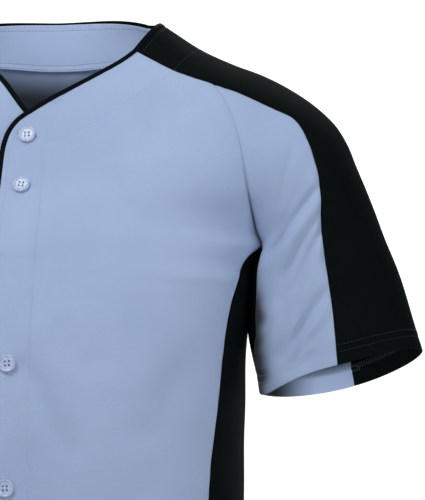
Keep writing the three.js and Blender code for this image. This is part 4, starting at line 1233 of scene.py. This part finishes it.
# %% A curl of thread inside the cuff
CURL_TURNS, CURL_RADIUS, CURL_THREAD, CURL_STEPS = 1.4, 4.2, 0.34, 44
strip = laid["shoulder_strip_left"]
base_points, base_normals = line_down(strip, HEM_TURN - 1, True, layer="inner")
base, base_up = base_points[-4], -base_normals[-4]
run = unit(base_points[-8] - base_points[-2])
drop = unit(np.cross(base_up, run))
drop = drop if drop[2] < 0 else -drop
angle = np.linspace(0, 2 * np.pi * CURL_TURNS, CURL_STEPS)
reach = CURL_RADIUS * np.linspace(0.55, 1, CURL_STEPS)
curl = (base + base_up * 0.9 + np.outer(reach * np.sin(angle), run)
        + np.outer(reach * (1 - np.cos(angle)) * 0.8, drop)
        + np.outer(np.linspace(0, 1.3, CURL_STEPS), base_up))
circle = np.linspace(0, 2 * np.pi, 6, endpoint=False)
curl_section = CURL_THREAD * np.stack([np.cos(circle), np.sin(circle)], -1)
curl_vertices, curl_faces, curl_uv = sweep(curl, np.tile(base_up, (CURL_STEPS, 1)), curl_section, 0)
curl_faces = outward_faces(curl_vertices, curl_faces)
make_piece("thread_curl", curl_vertices, curl_faces, curl_uv, BLACK)

# %% [markdown]
# ## The knit
# The cloth is a mesh knit: fine stitches with rows of small round holes, each row shifted by half a hole
# from the next. Two cosine waves multiplied together give such a staggered grid. It is made once as a
# node group, and each cloth material places it with its own sizes. It reads the flat pattern of the
# piece, in metres.

# %% Node helpers
def new_group(name, inputs, outputs):
    group = bpy.data.node_groups.new(name, "ShaderNodeTree")
    for socket, kind, value in inputs:
        made = group.interface.new_socket(name=socket, in_out="INPUT", socket_type=kind)
        if value is not None:
            made.default_value = value
    for socket, kind in outputs:
        group.interface.new_socket(name=socket, in_out="OUTPUT", socket_type=kind)
    return group, group.nodes.new("NodeGroupInput"), group.nodes.new("NodeGroupOutput")


def plug(tree, socket, value):
    if isinstance(value, bpy.types.NodeSocket):
        tree.links.new(value, socket)
    else:
        socket.default_value = value


def math_node(tree, operation, first, second=0.0, third=None):
    node = tree.nodes.new("ShaderNodeMath")
    node.operation = operation
    plug(tree, node.inputs[0], first)
    plug(tree, node.inputs[1], second)
    if third is not None:
        plug(tree, node.inputs[2], third)
    return node.outputs[0]


def ramp(tree, value, low, high, to_low=0.0, to_high=1.0):
    node = tree.nodes.new("ShaderNodeMapRange")
    node.interpolation_type = "SMOOTHSTEP"
    for socket, given in zip(node.inputs[:5], (value, low, high, to_low, to_high)):
        plug(tree, socket, given)
    return node.outputs[0]


def noise(tree, vector, scale, detail=2.0, rough=0.5):
    node = tree.nodes.new("ShaderNodeTexNoise")
    plug(tree, node.inputs["Vector"], vector)
    plug(tree, node.inputs["Scale"], scale)
    plug(tree, node.inputs["Detail"], detail)
    plug(tree, node.inputs["Roughness"], rough)
    return node.outputs["Fac"]


# %% Mesh knit group
knit, knit_in, knit_out = new_group(
    "mesh_knit",
    [("Cut", "NodeSocketVector", None), ("Holes Per Metre", "NodeSocketFloat", 420.0),
     ("Stitches Per Metre", "NodeSocketFloat", 1500.0)],
    [("Height", "NodeSocketFloat"), ("Holes", "NodeSocketFloat")])
parts = knit.nodes.new("ShaderNodeSeparateXYZ")
knit.links.new(knit_in.outputs["Cut"], parts.inputs[0])
wave = {}
for axis, name in ((0, "across"), (1, "down")):
    cycles = math_node(knit, "MULTIPLY", parts.outputs[axis], knit_in.outputs["Holes Per Metre"])
    stretch = math_node(knit, "MULTIPLY", cycles, 2 * math.pi * (1.0 if axis == 0 else 0.72))
    wave[name] = math_node(knit, "COSINE", stretch)
    loops = math_node(knit, "MULTIPLY", parts.outputs[axis], knit_in.outputs["Stitches Per Metre"])
    wave[name + " loops"] = math_node(knit, "COSINE", math_node(knit, "MULTIPLY", loops, 2 * math.pi))
product = math_node(knit, "MULTIPLY", wave["across"], wave["down"])
holes_mask = ramp(knit, product, 0.35, 0.85)
loops = math_node(knit, "MULTIPLY", wave["across loops"], wave["down loops"])
rise = math_node(knit, "MULTIPLY_ADD", loops, 0.18, 0.7)
sink = math_node(knit, "MULTIPLY", holes_mask, 0.7)
knit.links.new(math_node(knit, "SUBTRACT", rise, sink), knit_out.inputs["Height"])
knit.links.new(holes_mask, knit_out.inputs["Holes"])

# %% Wear and tone group
tone, tone_in, tone_out = new_group(
    "cloth_tone",
    [("Place", "NodeSocketVector", None), ("Patch Scale", "NodeSocketFloat", 9.0),
     ("Fibre Scale", "NodeSocketFloat", 900.0)],
    [("Tone", "NodeSocketFloat"), ("Fuzz", "NodeSocketFloat")])
patches = noise(tone, tone_in.outputs["Place"], tone_in.outputs["Patch Scale"], 3.0, 0.55)
fibres = noise(tone, tone_in.outputs["Place"], tone_in.outputs["Fibre Scale"], 3.0, 0.6)
tone.links.new(ramp(tone, patches, 0.3, 0.7), tone_out.inputs["Tone"])
tone.links.new(fibres, tone_out.inputs["Fuzz"])


# %% [markdown]
# ## Cloth materials
# A knit scatters light softly, and the blue one has a faint sheen at grazing angles. The holes are painted
# darker: painted shade for the shade inside that shows through them. The black cloth is the same knit
# without the sheen, so dark that its folds barely show.

# %% Cloth materials
def coordinate(tree, name):
    return tree.nodes.new("ShaderNodeTexCoord").outputs[name]


def fill(tree, node, **values):
    for name, value in values.items():
        plug(tree, node.inputs[name.replace("_", " ")], value)
    return node


def placed(tree, group, **values):
    node = tree.nodes.new("ShaderNodeGroup")
    node.node_tree = group
    return fill(tree, node, **values)


def relief(tree, height, strength, distance):
    node = tree.nodes.new("ShaderNodeBump")
    return fill(tree, node, Strength=strength, Distance=distance, Height=height).outputs["Normal"]


def mixed(tree, share, first, second):
    node = tree.nodes.new("ShaderNodeMix")
    node.data_type = "RGBA"
    plug(tree, node.inputs["Factor"], share)
    for socket, colour in zip((node.inputs[6], node.inputs[7]), (first, second)):
        plug(tree, socket, colour if isinstance(colour, bpy.types.NodeSocket) else (*colour, 1))
    return node.outputs[2]


def base_material(name):
    material = bpy.data.materials.new(name)
    material.use_nodes = True
    shader = material.node_tree.nodes["Principled BSDF"]
    return material, material.node_tree, shader


def attribute(tree, name):
    node = tree.nodes.new("ShaderNodeAttribute")
    node.attribute_name = name
    return node.outputs["Fac"]


def cloth_material(name, light, dark, hole, rough, sheen, sheen_tint, specular, strength,
                   holes=690.0, hole_share=0.45):
    material, tree, shader = base_material(name)
    pattern = placed(tree, knit, Cut=coordinate(tree, "UV"), Holes_Per_Metre=holes)
    wear = placed(tree, tone, Place=coordinate(tree, "Object"))
    cloth = mixed(tree, wear.outputs["Tone"], dark, light)
    # painted shade: the knit's holes are mixed towards a darker colour
    share = math_node(tree, "MULTIPLY", pattern.outputs["Holes"], hole_share)
    colour = mixed(tree, share, cloth, hole)
    height = math_node(tree, "MULTIPLY_ADD", wear.outputs["Fuzz"], 0.35, pattern.outputs["Height"])
    # painted shade darkens the colour towards black, and painted glow makes the cloth give off its own
    # colour
    fill(tree, shader, Base_Color=mixed(tree, attribute(tree, "shade"), colour, (0, 0, 0)),
         Emission_Color=mixed(tree, attribute(tree, "glow"), (0, 0, 0), colour), Emission_Strength=1,
         Roughness=ramp(tree, wear.outputs["Fuzz"], 0.3, 0.7, rough - 0.06, rough + 0.06),
         Specular_IOR_Level=specular, Sheen_Weight=sheen, Sheen_Roughness=0.45, Sheen_Tint=(*sheen_tint, 1),
         Normal=relief(tree, height, strength, 0.0003))
    return material


blue_knit = cloth_material(
    "blue_mesh_knit", (0.40, 0.505, 0.74), (0.36, 0.463, 0.69), (0.19, 0.26, 0.44),
    0.82, 0.25, (0.8, 0.88, 1.0), 0.25, 0.8, hole_share=0.62)
black_knit = cloth_material(
    "black_mesh_knit", (0.0040, 0.0062, 0.0068), (0.0030, 0.0050, 0.0056), (0.001, 0.002, 0.002),
    0.8, 0.0, (0.7, 0.85, 0.85), 0.02, 0.5)
black_binding = cloth_material(
    "black_binding", (0.0032, 0.0050, 0.0064), (0.0024, 0.0042, 0.0056), (0.001, 0.002, 0.003),
    0.7, 0.0, (0.7, 0.85, 0.9), 0.03, 0.35, 900.0, 0.4)

# %% [markdown]
# ## Thread and resin
# Thread is twisted, so a fine slanted wave runs along it. The resin of the buttons is pearly: a clear
# gloss over a cloudy colour that shifts from nearly white to pale blue.

# %% Thread, slit and resin materials
twist, twist_in, twist_out = new_group(
    "thread_twist", [("Along", "NodeSocketVector", None), ("Turns Per Metre", "NodeSocketFloat", 900.0)],
    [("Height", "NodeSocketFloat")])
parts = twist.nodes.new("ShaderNodeSeparateXYZ")
twist.links.new(twist_in.outputs["Along"], parts.inputs[0])
slant = math_node(twist, "ADD", parts.outputs[0], parts.outputs[1])
turns = math_node(twist, "MULTIPLY", slant, twist_in.outputs["Turns Per Metre"])
angle = math_node(twist, "MULTIPLY", turns, 2 * math.pi)
twist.links.new(math_node(twist, "SINE", angle), twist_out.inputs["Height"])


def thread_material(name, colour, shade, rough=0.6):
    material, tree, shader = base_material(name)
    strands = placed(tree, twist, Along=coordinate(tree, "UV"))
    height = strands.outputs["Height"]
    # painted shade: the grooves of the twist are darker
    fill(tree, shader, Base_Color=mixed(tree, ramp(tree, height, -0.8, 0.8), shade, colour),
         Roughness=ramp(tree, height, -1.0, 1.0, rough + 0.1, rough), Specular_IOR_Level=0.3,
         Normal=relief(tree, height, 0.4, 0.0001))
    return material


pale_thread = thread_material("pale_thread", (0.50, 0.58, 0.78), (0.40, 0.48, 0.68))
blue_thread = thread_material("blue_thread", (0.40, 0.50, 0.72), (0.33, 0.43, 0.64))
dim_thread = thread_material("dim_blue_thread", (0.22, 0.285, 0.43), (0.16, 0.21, 0.33))
black_thread = thread_material("grey_black_thread", (0.022, 0.028, 0.029), (0.015, 0.020, 0.021))
loop_thread = thread_material("grey_overlock_thread", (0.10, 0.125, 0.145), (0.065, 0.082, 0.095))
slit_shade = thread_material("slit_shade", (0.030, 0.035, 0.06), (0.02, 0.025, 0.045), 0.8)

button_resin, tree, shader = base_material("pearl_resin")
place = coordinate(tree, "Object")
cloud = noise(tree, place, 260.0, 4.0, 0.6)
swirl = tree.nodes.new("ShaderNodeTexWave")
fill(tree, swirl, Vector=place, Scale=55.0, Distortion=6.0, Detail=2.0)
pearl = math_node(tree, "MULTIPLY_ADD", swirl.outputs["Fac"], 0.45, math_node(tree, "MULTIPLY", cloud, 0.6))
milky = mixed(tree, ramp(tree, pearl, 0.2, 0.9), (0.38, 0.46, 0.65), (0.47, 0.55, 0.74))
fill(tree, shader, Base_Color=milky, Roughness=ramp(tree, cloud, 0.3, 0.7, 0.32, 0.44),
     Specular_IOR_Level=0.5, Coat_Weight=0.15, Coat_Roughness=0.15,
     Subsurface_Weight=0.15, Subsurface_Scale=0.002)

# %% Give each piece its material
BLACK_KNIT = ("shoulder_strip", "underarm_gusset", "side_panel")
FINISH = {
    "piping": black_binding, "stitching_black": black_thread, "overlocking_cuffs": loop_thread,
    "overlocking_hem": loop_thread, "thread_curl": loop_thread, "buttonhole_slits": slit_shade,
    "buttonholes": blue_thread, "button_thread": pale_thread, "stitching_neck_and_bands_blue": blue_thread,
    "stitching_hems_blue": blue_thread, "stitching_facing": dim_thread, "overlocking_sleeves": dim_thread,
}
for name, piece in pieces.items():
    if name.startswith("button_") and name.endswith("turned"):
        finish = button_resin
    else:
        finish = FINISH.get(name, black_knit if name.startswith(BLACK_KNIT) else blue_knit)
    piece.data.materials.clear()
    piece.data.materials.append(finish)
print("pieces:", len(pieces))

# %% [markdown]
# ## Cut sizes
# Each panel's size before it is sewn is worked out, and its width and length are printed. The size is that
# of the part that shows, measured over the panel: its widest width, its full length and its real area.

cut = {name: (panel["width"] * MM, panel["length"] * MM, panel["area"] * MM ** 2)
       for name, panel in laid.items()}
cut["piping"] = (PIPING_CUT * MM, float(distances(edge_points[None], 1)[0, -1]) * MM, None)
facing_area = grid_area(facing_grid) * MM ** 2
cut["back_neck_facing"] = (FACING_LENGTH * MM, float(wanted[-1]) * MM, facing_area)
for name, (width, length, area) in cut.items():
    if area is not None:
        area = min(area, width * length)
    print(name, "cut", round(width * 1000), "x", round(length * 1000), "mm")

# %% [markdown]
# ## Camera, light and floor
# The photograph is a close view from slightly to the wearer's left, taken from far off with a long lens,
# so the lines stay nearly parallel. Soft light comes from the front, from one side and from above, with a
# fourth lamp behind for the back. The floor is pale and bends up into a white surround.

# %% Camera
CAMERA_DISTANCE, CAMERA_TURN, CAMERA_HEIGHT = 3000, math.radians(12), -400
AIM_RIGHT, AIM_HEIGHT, SENSOR_WIDTH, FOCAL_LENGTH = 150, -199, 36, 245.5
turn_cos, turn_sin = math.cos(CAMERA_TURN), math.sin(CAMERA_TURN)
eye = np.array([CAMERA_DISTANCE * turn_sin, -CAMERA_DISTANCE * turn_cos, CAMERA_HEIGHT])
aim = np.array([AIM_RIGHT * turn_cos, AIM_RIGHT * turn_sin, AIM_HEIGHT])
camera_data = bpy.data.cameras.new("camera")
camera_data.sensor_width, camera_data.lens = SENSOR_WIDTH, FOCAL_LENGTH
camera_data.clip_start, camera_data.clip_end = 0.05, 60
camera = linked("camera", camera_data)
toward = unit(aim - eye)
camera_right = unit(np.cross(toward, (0, 0, 1)))
camera.matrix_world = frame_matrix(camera_right, np.cross(camera_right, toward), -toward, eye * MM)
bpy.context.scene.camera = camera


# %% Lights and floor
def softbox(name, place, target, size, power):
    data = bpy.data.lights.new(name, "AREA")
    data.shape, data.size, data.energy, data.color = "DISK", size, power, (1, 1, 1)
    place, target = np.array(place, float), np.array(target, float)
    back = unit(place - target)
    side = unit(np.cross((0, 0, 1), back))
    linked(name, data).matrix_world = frame_matrix(side, np.cross(back, side), back, place)


softbox("key", (-0.55, -1.3, 1.35), (0.08, 0, 0), 1.0, 25.5)
softbox("side", (2.3, -1.5, 0.6), (0.15, 0, -0.2), 1.4, 16)
softbox("top", (0.1, -0.5, 2.4), (0.1, 0, -0.2), 1.4, 6)
softbox("rear", (0.5, 2.0, 2.0), (0, 0, -0.3), 1.2, 40)
world = bpy.data.worlds.new("surround")
world.use_nodes = True
world.node_tree.nodes["Background"].inputs["Color"].default_value = (1, 1, 1, 1)
world.node_tree.nodes["Background"].inputs["Strength"].default_value = 0.04
bpy.context.scene.world = world
bpy.context.scene.view_settings.view_transform = "Standard"

FLOOR_HEIGHT, FLOOR_REACH, SWEEP_RADIUS, WALL_TOP, FLOOR_SIDES = -0.86, 9.0, 1.6, 2.2, 64
bend = np.linspace(0, math.pi / 2, 9)
profile = [(0.01, FLOOR_HEIGHT), (3.0, FLOOR_HEIGHT)]
profile += [(FLOOR_REACH + SWEEP_RADIUS * math.sin(a), FLOOR_HEIGHT + SWEEP_RADIUS * (1 - math.cos(a)))
            for a in bend]
profile += [(FLOOR_REACH + SWEEP_RADIUS, WALL_TOP)]
turn = np.linspace(0, 2 * math.pi, FLOOR_SIDES, endpoint=False)
floor_vertices = [(r * math.cos(a), r * math.sin(a), z) for r, z in profile for a in turn]
index = np.arange(len(floor_vertices)).reshape(len(profile), FLOOR_SIDES)
floor_faces = tube_faces(index, True).tolist() + [index[0].tolist()]
floor_mesh = bpy.data.meshes.new("floor")
floor_mesh.from_pydata(floor_vertices, [], floor_faces)
floor_mesh.polygons.foreach_set("use_smooth", np.ones(len(floor_faces), bool))
floor = linked("floor", floor_mesh)
paper, tree, shader = base_material("white_paper")
place = coordinate(tree, "Object")
pale = mixed(tree, noise(tree, place, 3.0), (0.58, 0.58, 0.58), (0.61, 0.61, 0.61))
# painted light: the floor and surround glow, not at all beside the garment and more with distance and up
# the wall, and their glow lights the garment
parts = tree.nodes.new("ShaderNodeSeparateXYZ")
plug(tree, parts.inputs[0], place)
across = math_node(tree, "MULTIPLY", parts.outputs[0], parts.outputs[0])
away = math_node(tree, "SQRT", math_node(tree, "MULTIPLY_ADD", parts.outputs[1], parts.outputs[1], across))
raised = ramp(tree, parts.outputs[2], FLOOR_HEIGHT, FLOOR_HEIGHT + 0.4, 0.0, 0.35)
surround_glow = math_node(tree, "ADD", raised, ramp(tree, away, 1.0, 4.5, 0.0, 0.65))
fill(tree, shader, Base_Color=pale, Roughness=0.9, Emission_Strength=0.9,
     Emission_Color=mixed(tree, surround_glow, (0, 0, 0), (1, 1, 1)))
floor_mesh.materials.append(paper)
